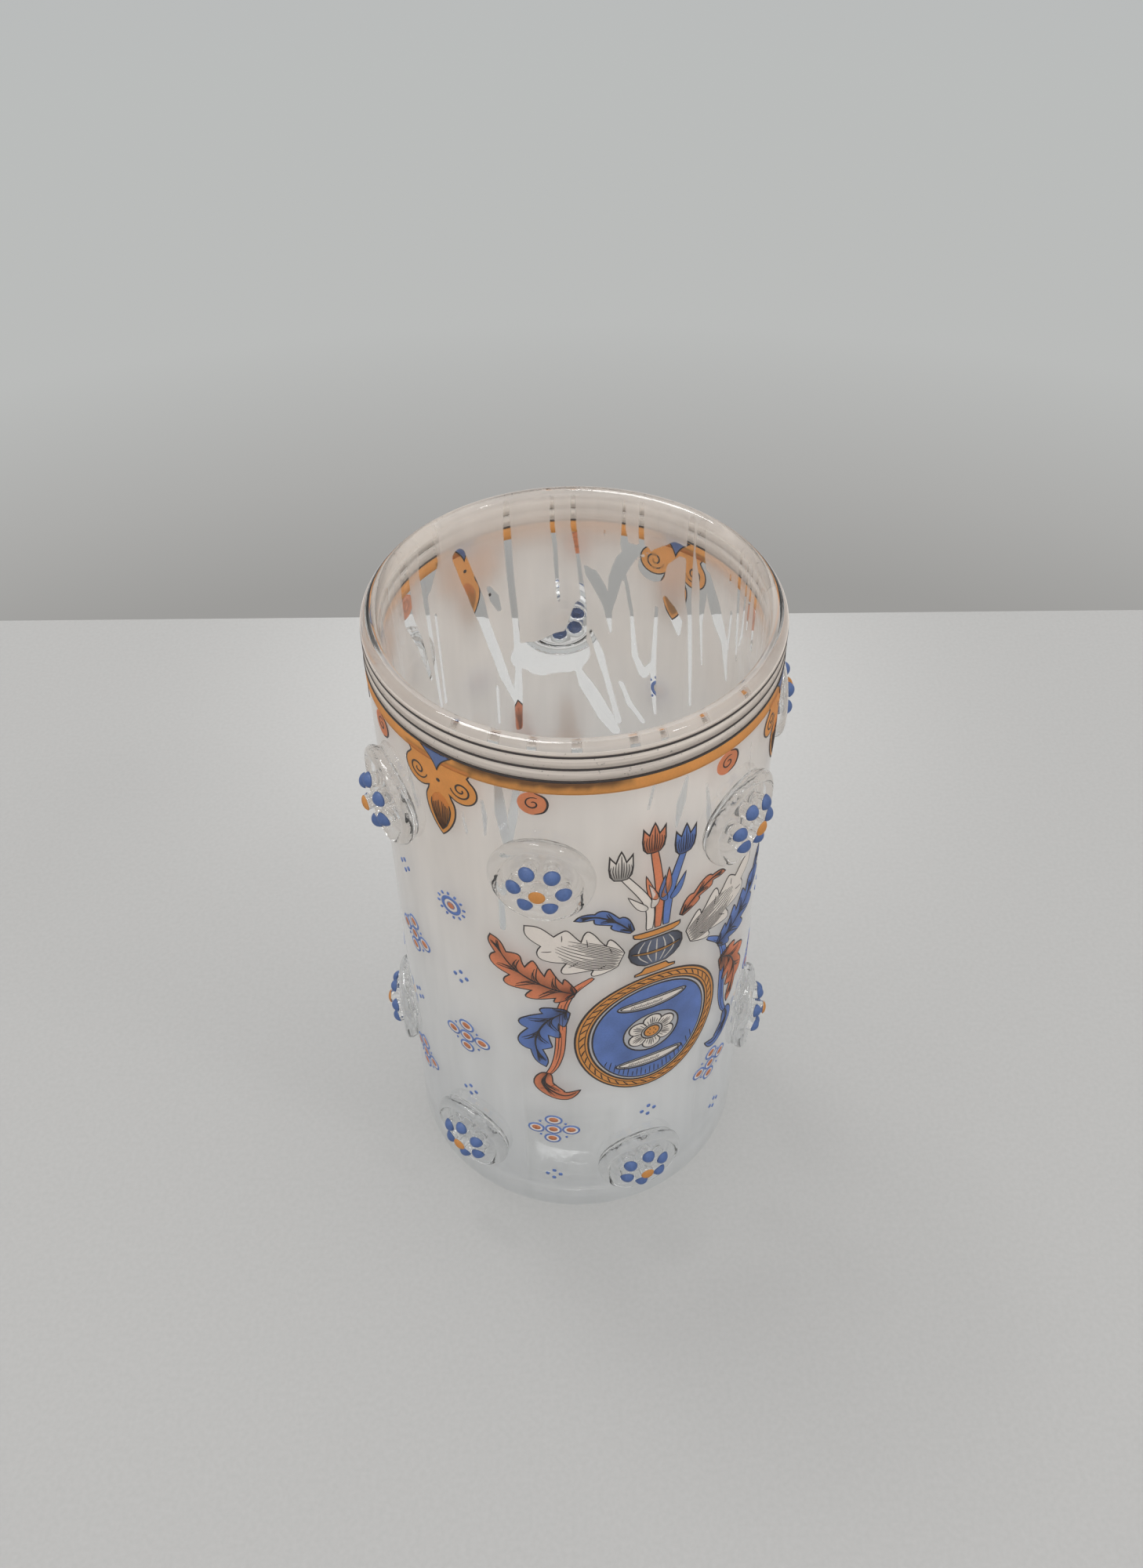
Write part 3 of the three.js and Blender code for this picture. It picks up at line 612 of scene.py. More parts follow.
def clearance(turns, heights):
    """Millimetres from each point to the edge of the nearest gap, below zero inside it."""
    nearest = np.full(turns.shape, 9.0)
    for gap in GAPS:
        for (t0, z0, w0), (t1, z1, w1) in zip(gap, gap[1:]):
            across, up = radians(t1 - t0) * INNER, z1 - z0
            dx, dz = np.radians(swing(turns, t0)) * INNER, heights - z0
            share = np.clip((dx * across + dz * up) / (across * across + up * up), 0, 1)
            gone = np.hypot(dx - share * across, dz - share * up)
            nearest = np.minimum(nearest, gone - (w0 + (w1 - w0) * share) / 2)
    return nearest


def fade(way, width):
    return np.clip(way / width, 0, 1)


def veil_left(turns, heights):
    """The share of the milk that is left at each point."""
    left = 1 - 0.1 * fade(30 - heights, 30) - 0.22 * fade(14 - heights, 5)
    left -= 0.15 * fade(heights - 141, 1.5) + 0.3 * fade(heights - 147.6, 1.2)
    for start, end, low, high, loss in THIN_PATCHES:
        half = (end - start) / 2
        aside = swing(turns, (start + end) / 2)
        across = fade(half - aside, 5) * fade(half + aside, 0.8)
        left -= loss * across * fade(heights - low, 6) * fade(high - heights, 8)
    return left


def milky_film(low, around, rows):
    """A sheet inside the wall that turns over into the round of the rim."""
    top = rim_centre[1]
    profile = [(FILM, low + (top - low) * k / rows) for k in range(rows)]
    bm = spun(profile + arc(rim_centre, rim_centre[0] - FILM, 180, 90, 8), around, closed=False)
    places = np.array([v.co for v in bm.verts])
    turns = np.degrees(np.arctan2(places[:, 0], -places[:, 1]))
    mark(bm, "clear_by", clearance(turns, places[:, 2]))
    mark(bm, "veil", veil_left(turns, places[:, 2]))
    return bm


film = piece("milky_film", milky_film(1.0, 560, 160), [MILKY], ["milky_lining"])
print("film faces:", len(film.data.polygons))

# %% [markdown]
# ## Prunts
# A prunt is a gob of hot glass pressed on with a stamp: a round pad with a rolled edge and seven knobs, of
# which six lean outwards. The pad and the knobs are spun, a voxel remesh melts them into one skin and
# smoothing rounds the joints, which is closer to hot glass than a sharp boolean. The form is made flat once.

# %% Prunt form
KNOB = 1.5
BASE_RING = 3.4
LEAN = radians(15)
RING_KNOB = (5.35, KNOB)
MIDDLE_KNOB = (6.2, 0.8)
VOXEL = 0.25
PAD_PROFILE = [(0, 0), (9.3, 0), *arc((8.75, 1.8), 1.25, -60, 150, 12), (7.35, 1.9), (7.0, 1.2), (6.4, 0.9),
               (3.5, 1.1), (0, 1.25)]


def knob_tip(height, crown, out, start, end):
    """Part of the rounded tip, whose crown is so high, at a distance out from the glass."""
    turns = [radians(start + (end - start) * i / 7) for i in range(8)]
    return [((KNOB + out) * cos(a), height - crown + (crown + out) * sin(a)) for a in turns]


def knob_form(height, crown):
    return spun([(0, 0.3), (KNOB + 0.35, 0.3), (KNOB, 2.6), *knob_tip(height, crown, 0, 0, 90)], 20)


def dip_form(height, crown):
    """The enamel on a knob's tip: a thin cap, sunk a little in the glass."""
    return spun(knob_tip(height, crown, 0.08, 90, 14) + knob_tip(height, crown, -0.22, 20, 90), 20)


def set_knobs(build):
    """Seven forms on their places, the last in the middle."""
    forms = []
    for k in range(6):
        aside = Vector((sin(radians(60 * k + 30)), cos(radians(60 * k + 30)), 0))
        form = build(*RING_KNOB)
        lean = Matrix.Rotation(LEAN, 3, Vector((-aside.y, aside.x, 0)))
        bmesh.ops.rotate(form, cent=(0, 0, 0), matrix=lean, verts=form.verts)
        bmesh.ops.translate(form, vec=aside * BASE_RING, verts=form.verts)
        forms.append(form)
    return forms + [build(*MIDDLE_KNOB)]


def prunt_form():
    rough = new_object("prunt_form", joined([spun(PAD_PROFILE, 64), *set_knobs(knob_form)]))
    melt = rough.modifiers.new("melt", "REMESH")
    melt.mode = "VOXEL"
    melt.voxel_size = VOXEL
    graph = bpy.context.evaluated_depsgraph_get()
    melted = bpy.data.meshes.new_from_object(rough.evaluated_get(graph))
    bpy.data.objects.remove(rough)
    bm = bmesh.new()
    bm.from_mesh(melted)
    for _ in range(4):
        bmesh.ops.smooth_vert(bm, verts=bm.verts, factor=0.5,
                              use_axis_x=True, use_axis_y=True, use_axis_z=True)
    bmesh.ops.recalc_face_normals(bm, faces=bm.faces)
    smooth_faces(bm)
    return bm


def prunt_dips():
    dips = set_knobs(dip_form)
    for face in dips[-1].faces:
        face.material_index = 1
    return joined(dips)


PRUNT = prunt_form()
DIPS = prunt_dips()
print("prunt faces:", len(PRUNT.faces))

# %% [markdown]
# A flat form is wrapped on the wall: x runs along it, y up and z straight out. Lengths along x are kept at
# every distance from the wall, so the knobs don't fan out. The pad is sunk a little in the wall: with air
# between them, its back would shine like a mirror.

# %% Setting the prunts on the wall
SUNK = 0.2


def bend(bm, turn, height, off=0.0):
    for vert in bm.verts:
        radius = WALL + off + vert.co.z
        angle = radians(turn) + vert.co.x / radius
        vert.co = (radius * sin(angle), -radius * cos(angle), height + vert.co.y)


def place_prunts(row, places):
    for number, (turn, height, twist) in enumerate(places, 1):
        twisted = Matrix.Rotation(radians(twist), 3, "Z")
        glass, dips = PRUNT.copy(), DIPS.copy()
        for form in (glass, dips):
            bmesh.ops.rotate(form, cent=(0, 0, 0), matrix=twisted, verts=form.verts)
            bend(form, turn, height, -SUNK)
        piece(f"prunt_{row}_{number}_glass", glass, [PRUNT_GLASS], [f"prunt_{row}_{number}"])
        piece(f"prunt_{row}_{number}_dips", dips, [PAINTS["dot_blue"], PAINTS["ochre"]])


place_prunts("upper", UPPER_PRUNTS)
place_prunts("lower", LOWER_PRUNTS)
print("prunts:", len(UPPER_PRUNTS) + len(LOWER_PRUNTS))

# %% [markdown]
# ## Painting on the wall
# A painted shape starts as a flat outline. It is filled, its border is inset and inked, and the sheet is cut
# into narrow strips so that it can bend, and gets a thin body. Later strokes lie a hair higher, as layers of
# paint do. From inside the vase they are hidden by the first layer.

# %% Curves for brush strokes
def from_centre(radius, angle, x=0.0, y=0.0):
    return x + radius * cos(angle), y + radius * sin(angle)


def ellipse(x, y, half_width, half_height, count=24):
    turns = [2 * pi * i / count for i in range(count)]
    return [(x + half_width * cos(a), y + half_height * sin(a)) for a in turns]


def along(spine, share):
    """A point and a direction on a smooth curve through the spine's points."""
    last = len(spine) - 1
    at = min(share, 0.99999) * last
    i = int(at)
    t = at - i
    nearby = [spine[max(0, min(last, k))] for k in (i - 1, i, i + 1, i + 2)]

    def blend(a, b, c, d):
        square, cube = 2 * a - 5 * b + 4 * c - d, 3 * b - a - 3 * c + d
        place = 0.5 * (2 * b + (c - a) * t + square * t * t + cube * t ** 3)
        slope = 0.5 * ((c - a) + 2 * square * t + 3 * cube * t * t)
        return place, slope

    (x, dx), (y, dy) = (blend(*axis) for axis in zip(*nearby))
    length = hypot(dx, dy) or 1.0
    return (x, y), (dx / length, dy / length)


def beside(spine, share, off):
    """The point at a distance to the left of a place on the spine."""
    (x, y), (dx, dy) = along(spine, share)
    return x - dy * off, y + dx * off


def smooth(points, steps):
    return [along(points, i / steps)[0] for i in range(steps + 1)]


def stroke(spine, width, steps, taper):
    """The outline of a brush stroke that thins towards both ends."""
    left, right = [], []
    for i in range(steps + 1):
        share = i / steps
        half = 0.5 * width * (taper + (1 - taper) * max(0.0, sin(pi * share)) ** 0.6)
        left.append(beside(spine, share, half))
        right.append(beside(spine, share, -half))
    return left + right[::-1]


def spiral(x, y, outer, inner, turns, start):
    shares = [i / 24 for i in range(25)]
    return [from_centre(outer + (inner - outer) * share, radians(start) + 2 * pi * turns * share, x, y)
            for share in shares]


def mirrored(points, side):
    return [(side * x, y) for x, y in points]


def symmetric(right_side):
    """A closed outline from its right half; points on the axis are not doubled."""
    return right_side + [(-x, y) for x, y in reversed(right_side) if x > 0.01]


# %% [markdown]
# A `Motif` is one sheet with everything that is painted on it. `fill` paints a shape, `ink` draws a dark
# stroke, and `place` bends a copy of the sheet onto the wall. Most motifs stand for the CAD node whose name
# they carry.

# %% Motifs
STRIP = 2.0
SHADED_STRIP = 1.1
COAT, LAYER = 0.1, 0.035
BASE, BASE_STEP = 0.02, 0.03
ORNAMENT = (23, 68)


def cut_in_strips(bm, axis, width):
    spread = [v.co[axis] for v in bm.verts]
    normal = (1, 0, 0) if axis == 0 else (0, 1, 0)
    cut = ceil(min(spread) / width) * width
    while cut < max(spread):
        bmesh.ops.bisect_plane(bm, geom=bm.verts[:] + bm.edges[:] + bm.faces[:], dist=1e-5,
                               plane_co=[cut * n for n in normal], plane_no=normal)
        cut += width


class Motif:
    def __init__(self, *ground, **look):
        self.forms = []
        self.paints = []
        if ground:
            self.fill(*ground, **look)

    def colour(self, faces, paint):
        if paint not in self.paints:
            self.paints.append(paint)
        for face in faces:
            face.material_index = self.paints.index(paint)

    def fill(self, outline, paint, holes=(), level=0, line=0.0, line_paint="ink", shade=None, sink=None):
        """One painted shape as a thin flat solid; line is the width of its ink border."""
        bm = bmesh.new()
        edges = []
        for loop in (outline, *holes):
            verts = [bm.verts.new((x, y, 0)) for x, y in loop]
            edges += [bm.edges.new((verts[i - 1], verts[i])) for i in range(len(verts))]
        bmesh.ops.triangle_fill(bm, edges=edges, use_beauty=True, normal=(0, 0, 1))
        self.colour(bm.faces, paint)
        if line:
            border = bmesh.ops.inset_region(bm, faces=bm.faces[:], thickness=line, use_boundary=True,
                                            use_even_offset=True)
            self.colour(border["faces"], line_paint)
        cut_in_strips(bm, 0, SHADED_STRIP if shade else STRIP)
        if shade:
            cut_in_strips(bm, 1, SHADED_STRIP)
        mark(bm, "shade", [min(1.0, max(0.0, shade(v.co.x, v.co.y))) if shade else 0.0 for v in bm.verts])
        low = BASE + BASE_STEP * abs(level) if sink is None else sink
        lifted = bmesh.ops.extrude_face_region(bm, geom=bm.faces[:], use_keep_orig=True)
        top = [g for g in lifted["geom"] if isinstance(g, bmesh.types.BMVert)]
        bmesh.ops.translate(bm, vec=(0, 0, COAT + LAYER * level - low), verts=top)
        bmesh.ops.translate(bm, vec=(0, 0, low), verts=bm.verts)
        bmesh.ops.recalc_face_normals(bm, faces=bm.faces)
        for face in bm.faces:
            face.smooth = abs(face.normal.z) > 0.7
        self.forms.append(bm)

    def ink(self, spine, width, steps=14, taper=0.25, level=1, sink=None):
        self.fill(stroke(spine, width, steps, taper), "ink", level=level, sink=sink)

    def place(self, name, paint, place=ORNAMENT, stands_for=True):
        """The paint is not used; only a motif that stands for a CAD node replaces it."""
        bm = joined([form.copy() for form in self.forms])
        bend(bm, *place)
        label, nodes = (f"{name}_paint", [name]) if stands_for else (name, ())
        piece(label, bm, [PAINTS[p] for p in self.paints], nodes)


print("painting helpers ready")

# %% [markdown]
# ## Rings under the rim
# The banding wheel turns the vase under a still brush: pale bands, dark lines over their joints and below,
# then an ochre ring, shaded by a brown cloud over part of the front. Each is a spin of a small rectangle.
# The lines lie outside the bands, so from inside they look faint, and the pale and ochre rings reach a hair
# into the glass, because light that is trapped in the wall has to meet them.

# %% Rings
EMBEDDED = -0.03


def painted_ring(name, low, high, paint, nodes, base, out, shade=None):
    rows = 6 if shade else 1
    face_side = [(WALL + out, low + (high - low) * k / rows) for k in range(rows + 1)]
    bm = spun([(WALL + base, low), *face_side, (WALL + base, high)], 240)
    turns = [degrees(atan2(v.co.x, -v.co.y)) for v in bm.verts]
    mark(bm, "shade", [shade(turn, v.co.z) if shade else 0.0 for turn, v in zip(turns, bm.verts)])
    for face in bm.faces:
        face.smooth = abs(face.normal.z) < 0.5
    piece(name, bm, [PAINTS[paint]], nodes)


def ring_cloud(turn, height):
    spread = max(0.0, 1 - ((turn + 9) / 24) ** 2) ** 0.5
    ragged = 0.5 * sin(turn * 0.9) + 0.35 * sin(turn * 2.3 + 1)
    return min(0.9, max(0.0, spread * ((height - 140.1 + 0.4 * ragged) / 1.1)))


painted_ring("band_top", 147.7, 148.7, "band", [], EMBEDDED, 0.07)
painted_ring("band_upper", 145.0, 147.6, "band", ["rim_white_upper"], EMBEDDED, 0.07)
painted_ring("band_lower", 142.4, 144.9, "band", ["rim_white_lower"], EMBEDDED, 0.07)
painted_ring("line_upper", 147.4, 147.85, "ink", ["rim_line_upper"], 0.075, 0.14)
painted_ring("line_middle", 144.72, 145.17, "ink", ["rim_line_middle"], 0.075, 0.14)
painted_ring("line_lower", 141.9, 142.35, "ink", ["rim_line_lower"], 0.02, 0.2)
painted_ring("ochre_ring", 139.2, 141.9, "ochre", ["rim_ochre_ring"], EMBEDDED, 0.17, ring_cloud)
print("rings ready")

# %% [markdown]
# ## Pendants, spandrels and roundels
# Below the ring hang pendants: two volutes and a pointed leaf in one outline that grows out of the ring,
# shaded dark towards the leaf's tip, with a blue spandrel that cuts into the ring. Between them sit small
# roundels. Each motif is painted flat once and bent on many times. The ring covers the pendant's upper edge.

# %% Pendant motif
VOLUTE = (4.75, 0.1, 3.5)
PENDANT_LEAF = [(2.7, -3.1), (3.35, -4.7), (3.45, -6.4), (3.1, -8.4), (2.2, -10.6), (1.0, -12.5), (0, -13.6)]
INNER_LEAF = [(0, -2.9), (1.1, -3.6), (2.0, -5.2), (2.15, -6.8), (1.75, -8.8), (0.9, -10.9), (0, -12.2)]
SPANDREL = [(0, -1.0), (0.6, 0.4), (1.5, 1.7), (2.7, 2.8), (3.6, 3.5)]
ROUNDEL_EDGE = [(0.3, 2.55), (2.0, 1.7), (2.6, 0.0), (1.9, -1.8), (0.2, -2.55)]
PENDANT_HEIGHT, SPANDREL_HEIGHT, ROUNDEL_HEIGHT = 134.9, 138.3, 136.5
THROUGH = 0.012


def pendant_shade(x, y):
    return 1.15 * (-y - 4.4) / 6.5 - 0.12 * abs(x)


def pendant_motif():
    x, y, radius = VOLUTE
    volute = arc((x, y), radius, 50, -128, 16)
    right = [(7.6, 5.6), (7.0, 4.3), (6.5, 3.5), *volute, *smooth(PENDANT_LEAF, 14)]
    motif = Motif(symmetric(right), "ochre", line=0.3)
    motif.fill(symmetric(smooth(INNER_LEAF, 14)), "ochre", level=1, shade=pendant_shade)
    for side in (-1, 1):
        motif.ink(mirrored(INNER_LEAF[2:], side), 0.3, 14, 0.4, level=2)
        for k in range(1, 5):
            rib = [(0.36 * k, -4.6 - 0.35 * k), (0.42 * k, -6.6), (0.3 * k, -9.0 - 0.2 * k)]
            motif.ink(mirrored(rib, side), 0.14, 8, level=2)
        motif.ink(mirrored(spiral(x + 0.1, y, 2.2, 0.3, 1.55, 190), side), 0.36, 34, 0.5, sink=THROUGH)
    motif.fill(ellipse(0, 0.1, 0.42, 0.42, 12), "ink", level=1, sink=THROUGH)
    return motif


def roundel_motif():
    motif = Motif(ellipse(0, 0, 2.7, 2.65), "salmon", line=0.17, line_paint="brick")
    motif.ink(spiral(0, 0, 1.55, 0.3, 1.2, 60), 0.3, 30, 0.3)
    motif.ink(ROUNDEL_EDGE, 0.4, 16, 0.1)
    return motif


pendant, roundel = pendant_motif(), roundel_motif()
spandrel = Motif(symmetric(smooth(SPANDREL, 10)), "blue", level=3, line=0.26, sink=-0.06)
for number, turn in enumerate(PENDANTS, 1):
    pendant.place(f"pendant_{number}", "ochre", (turn, PENDANT_HEIGHT))
    spandrel.place(f"spandrel_{number}", "blue", (turn, SPANDREL_HEIGHT))
for number, turn in enumerate(ROUNDELS, 1):
    roundel.place(f"roundel_{number}", "brick", (turn, ROUNDEL_HEIGHT))
print("pendants:", len(PENDANTS), "roundels:", len(ROUNDELS))

# %% [markdown]
# ## The painted ornament
# The front carries one large ornament: a framed cartouche with a rosette, an urn with three buds, and
# scrolling leaves. A leaf is a spine with a lobed edge: (spine, half width, lobes, half width at the root).
# Its darker colour lies along the midrib, and fine ink veins leave the midrib gently and turn out into each
# lobe: (start behind the lobe's tip, reach, line width), the first two as shares of a lobe.

# %% Leaves
UPPER_LEAF = ([(-15.8, 16.5), (-22, 18.5), (-28.5, 23), (-32.5, 31)], 5.2, 5, 1.0)
LOWER_LEAF = ([(-17.4, 11), (-22, 6.5), (-24.2, -1), (-22, -9)], 4.3, 4, 0.8)
CURL = ([(-21.8, -11), (-22.6, -15.5), (-18.4, -19), (-14.8, -16.6)], 1.9, 1, 0.7)
SPRAY = ([(-5.0, 33.6), (-8.4, 37.4), (-12.4, 39.4), (-16.2, 38.4)], 1.9, 3, 0.6)
VEINS = [(0.75, 0.86, 0.24), (0.6, 0.6, 0.17), (0.42, 0.72, 0.15), (0.9, 0.42, 0.15)]


def swell(half, share):
    return half * sin(pi * share ** 0.8)


def acanthus(spine, half, lobes, root):
    """Each lobe swells slowly, leans ahead and hooks back quickly, as a leaf tip that curls over."""
    steps = lobes * 10 if lobes > 1 else 20
    left, right = [], []
    for i in range(steps + 1):
        share = i / steps
        (x, y), (dx, dy) = along(spine, share)
        lobe = sin(pi * ((i % 10) / 10) ** 1.5) ** 0.8 if lobes > 1 else 0.0
        reach = root * (1 - share) + swell(half, share) * ((0.48 + 0.52 * lobe) if lobes > 1 else 1.0)
        ahead = 0.26 * swell(half, share) * lobe
        left.append((x - dy * reach + dx * ahead, y + dx * reach + dy * ahead))
        right.append((x + dy * reach + dx * ahead, y - dx * reach + dy * ahead))
    return left[:-1] + right[::-1]


def leaf_shade(spine, half):
    """Deep along the midrib and at the root, light at the lobes, deeper on the lower side."""
    marks = [(k / 24, *along(spine, k / 24)) for k in range(25)]

    def shade(x, y):
        gone, share, side = min((hypot(x - u, y - v), at, (y - v) * dx - (x - u) * dy)
                                for at, (u, v), (dx, dy) in marks)
        rib = exp(-(gone / (0.36 * half)) ** 2)
        under = 0.16 if side < 0 else 0.0
        return 0.6 * rib * (1 - 0.7 * share) + under * (1 - share) + 0.2 * max(0.0, 1 - 4 * share)
    return shade


def place_leaf(name, leaf, side, paint, place=ORNAMENT, stands_for=True):
    points, half, lobes, root = leaf
    spine = mirrored(points, side)
    motif = Motif(acanthus(spine, half, lobes, root), paint, line=0.27, shade=leaf_shade(spine, half))
    motif.ink(smooth(spine, 8)[:-1], 0.4, 18)
    for k in range(lobes):
        tip = (k + 0.62) / lobes
        for wing in (-1, 1):
            for back, out, width in VEINS:
                start, end = max(0.02, tip - back / lobes), tip - 0.12 * back / lobes
                off = wing * swell(half, tip) * out
                bends = ((start, 0.0), ((start + end) / 2, 0.3 * off), (end, off))
                motif.ink([beside(spine, *at) for at in bends], width, 8)
    motif.place(name, paint, place, stands_for)


# %% [markdown]
# A pale leaf with long fine hatching lies behind the others, and the leaves of each side grow from one stem.

# %% Ground and stems
GROUND = ([(-7, 26), (-13, 28), (-19.5, 31), (-25.5, 36)], 5.6, 4, 2.0)
STEM = [(-12.4, 21.4), (-16.4, 17.2), (-18.5, 11.5), (-18.8, 4.5), (-19.2, -3.0), (-20.3, -8.4),
        (-21.9, -11.8)]


def place_ground(label, side):
    points, half, lobes, root = GROUND
    spine = mirrored(points, side)
    motif = Motif(acanthus(spine, half, lobes, root), "white", line=0.22)
    for k in range(17):
        start, end = 0.02 + 0.025 * (k % 3), 0.3 + 0.36 * abs(sin(1.7 * k + 0.4))
        shares = [start + (end - start) * m / 4 for m in range(5)]
        widths = [root * (1 - share) + 0.62 * swell(half, share) for share in shares]
        hatch = [beside(spine, share, (-0.8 + 0.1 * k) * width) for share, width in zip(shares, widths)]
        motif.ink(hatch, 0.17, 10)
    for k in range(lobes - 1):
        tip = (k + 0.72) / lobes
        reach = 0.8 * swell(half, tip)
        for wing in (-1, 1):
            motif.ink([beside(spine, tip + ahead, out * wing * reach)
                       for ahead, out in ((-0.02, 0.55), (0, 0.75), (0.03, 1))], 0.16, 6)
    motif.place(f"white_ground_{label}", "white")


def place_stem(label, side, paint):
    spine = mirrored(STEM, side)
    motif = Motif(stroke(smooth(spine, 24), 2.3, 30, 0.35), paint, level=-1, line=0.22)
    for off, start, end in ((0.3, 0.1, 0.5), (-0.35, 0.3, 0.75), (0.2, 0.55, 0.95)):
        grain = [beside(spine, start + (end - start) * m / 5, side * off) for m in range(6)]
        motif.ink(grain, 0.16, 12, level=0)
    motif.place(f"stem_{label}", paint, stands_for=False)


for label, side, first, second in (("left", 1, "brick", "blue"), ("right", -1, "blue", "brick")):
    place_ground(label, side)
    place_stem(label, side, first)
    place_leaf(f"upper_leaf_{label}", UPPER_LEAF, side, first)
    place_leaf(f"lower_leaf_{label}", LOWER_LEAF, side, second)
    place_leaf(f"curl_{label}", CURL, side, first)
    place_leaf(f"spray_{label}", SPRAY, side, second, stands_for=False)
print("front leaves ready")

# %% [markdown]
# The far side shows only as a warm haze and one dark red slit, so its three leaves are a guess in the same
# style.

# %% Far-side leaves
FAR_SIDE = (-160, 78)
FAR_MIDDLE = ([(0, -8), (0.4, 0), (-0.3, 9), (0, 18)], 3.8, 3, 1.0)
FAR_ASIDE = ([(5.4, -9), (9.8, -2), (12, 7), (11, 19)], 3.7, 3, 1.0)

place_leaf("back_leaf_middle", FAR_MIDDLE, 1, "brick", FAR_SIDE)
place_leaf("back_leaf_left", FAR_ASIDE, -1, "ochre", FAR_SIDE)
place_leaf("back_leaf_right", FAR_ASIDE, 1, "ochre", FAR_SIDE)
print("far-side leaves ready")

# %% [markdown]
# The cartouche is an ochre ring with a roped hatch, round a blue field. Two white bars and a six-petalled
# rosette lie in holes of the field, so that no paint hides under another.

# %% Cartouche
BAR_RISE = 9.8
ROPE_TURNS = 44


def place_frame():
    motif = Motif(ellipse(0, 0, 16.3, 19.0, 72), "ochre", [ellipse(0, 0, 13.2, 15.9, 64)], line=0.42)
    for half_width, half_height in ((15.35, 18.05), (14.1, 16.8)):
        outer, inner = (ellipse(0, 0, half_width + off, half_height + off, 64) for off in (0.09, -0.09))
        motif.fill(outer, "ink", [inner], level=1)
    for k in range(ROPE_TURNS):
        slant = []
        for radius, ahead in ((14.2, 0), (14.75, 0.375), (15.25, 0.75)):
            a = 2 * pi * (k + ahead) / ROPE_TURNS
            slant.append((radius * cos(a), (radius + 2.7) * sin(a)))
        motif.ink(slant, 0.26, 6)
    motif.place("cartouche_frame", "ochre")


def field_shade(x, y):
    return 0.42 * exp(-((x / 9) ** 2 + (y / 11) ** 2)) + 0.12 * sin(0.9 * x + 0.5) * sin(0.7 * y)


def place_field():
    holes = [ellipse(0, 0, 6.0, 6.0, 32)]
    holes += [ellipse(0, middle, 7.4, 1.5, 28) for middle in (BAR_RISE, -BAR_RISE)]
    motif = Motif(ellipse(0, 0, 12.75, 15.45, 64), "blue", holes, line=0.34, shade=field_shade)
    for k in range(21):
        x = -10.0 + k
        drop = 14.9 * sqrt(1 - (x / 12.4) ** 2)
        rise = 1.6 + 1.2 * abs(sin(2.1 * k))
        motif.ink([(x, -drop), (x * 0.98, -drop + rise / 2), (x * 0.95, -drop + rise)], 0.2, 6)
    motif.place("cartouche_field", "blue")


def place_bar(label, side):
    middle = side * BAR_RISE
    motif = Motif(ellipse(0, middle, 7.0, 1.15, 32), "white", line=0.24)
    for k in range(15):
        x = -4.6 + 0.46 * k
        end = (x + 0.2, middle + 0.1 + 0.25 * sin(2 * k))
        motif.ink([(x - 0.25, middle - 0.55), (x, middle - 0.1), end], 0.14, 5)
    motif.place(f"cartouche_bar_{label}", "white")


place_frame()
place_field()
place_bar("lower", -1)
place_bar("upper", 1)
print("cartouche ready")

# %% Rosette
PETAL_LINES = [(0.0, 4.1, 0.3), (0.22, 3.9, 0.15), (0.4, 4.5, 0.18), (0.52, 4.8, 0.2), (0.64, 4.5, 0.18),
               (0.82, 3.9, 0.15)]


def place_rosette():
    turns = [2 * pi * k / 84 for k in range(84)]
    edge = [from_centre(5.6 * (0.76 + 0.24 * abs(sin(3 * a)) ** 0.7), a) for a in turns]
    petals = Motif(edge, "white", [ellipse(0, 0, 2.2, 2.2, 24)], line=0.3)
    heart = Motif(ellipse(0, 0, 1.85, 1.85, 24), "ochre", line=0.28)
    for k in range(6):
        for ahead, reach, width in PETAL_LINES:
            a = radians(60 * k) + ahead
            petals.ink([from_centre(r, a) for r in (2.5, (2.5 + reach) / 2, reach)], width, 5)
        heart.fill(ellipse(*from_centre(0.85, radians(60 * k)), 0.16, 0.16, 8), "ink", level=1)
    petals.place("rosette", "white")
    heart.place("rosette_heart", "ochre")


place_rosette()
print("rosette ready")

# %% [markdown]
# The urn has an ochre foot and lip and a dark, steel-grey body with pale flutes. Three stems rise from it,
# each with two small leaves and a cup of pointed petals in its own colour.

# %% Urn
URN_FOOT = [(4.4, 19.45), (4.4, 20.2), (3.0, 20.7), (2.3, 21.7)]
URN_BODY = [(2.3, 22.2), (3.9, 23.0), (5.2, 24.4), (5.8, 26.2), (5.6, 28.2), (4.5, 29.6), (3.3, 30.2)]
URN_BELT = [(-5.2, 26.6), (-2.4, 26.1), (0, 25.95), (2.4, 26.1), (5.2, 26.6)]
URN_LIP = [(3.3, 30.65), (4.6, 31.1), (5.0, 31.6), (5.0, 32.5)]


def urn_shade(x, y):
    return 0.75 * abs(x) / 5.5


def place_urn():
    Motif(symmetric(URN_FOOT), "ochre", line=0.28).place("urn_foot", "ochre")
    body = Motif(symmetric(URN_BODY), "steel", line=0.3, shade=urn_shade)
    for k in range(-2, 3):
        flute = [(0.8 * k, 22.9), (1.75 * k, 25.2), (1.8 * k, 27.4), (1.25 * k, 29.6)]
        body.fill(stroke(flute, 0.3, 12, 0.25), "white", level=1)
    body.fill(stroke(URN_BELT, 0.9, 14, 0.25), "ochre", level=2, line=0.18)
    body.place("urn_body", "steel")
    Motif(symmetric(URN_LIP), "ochre", line=0.28).place("urn_lip", "ochre")


place_urn()
print("urn ready")

# %% Buds
STEM_FOOT = 33.0
CUP = [(0, 0), (1.3, 0.25), (2.1, 1.4), (2.35, 3.4), (2.2, 7.0), (1.55, 5.9), (1.0, 5.1), (0.55, 6.7),
       (0, 8.0)]


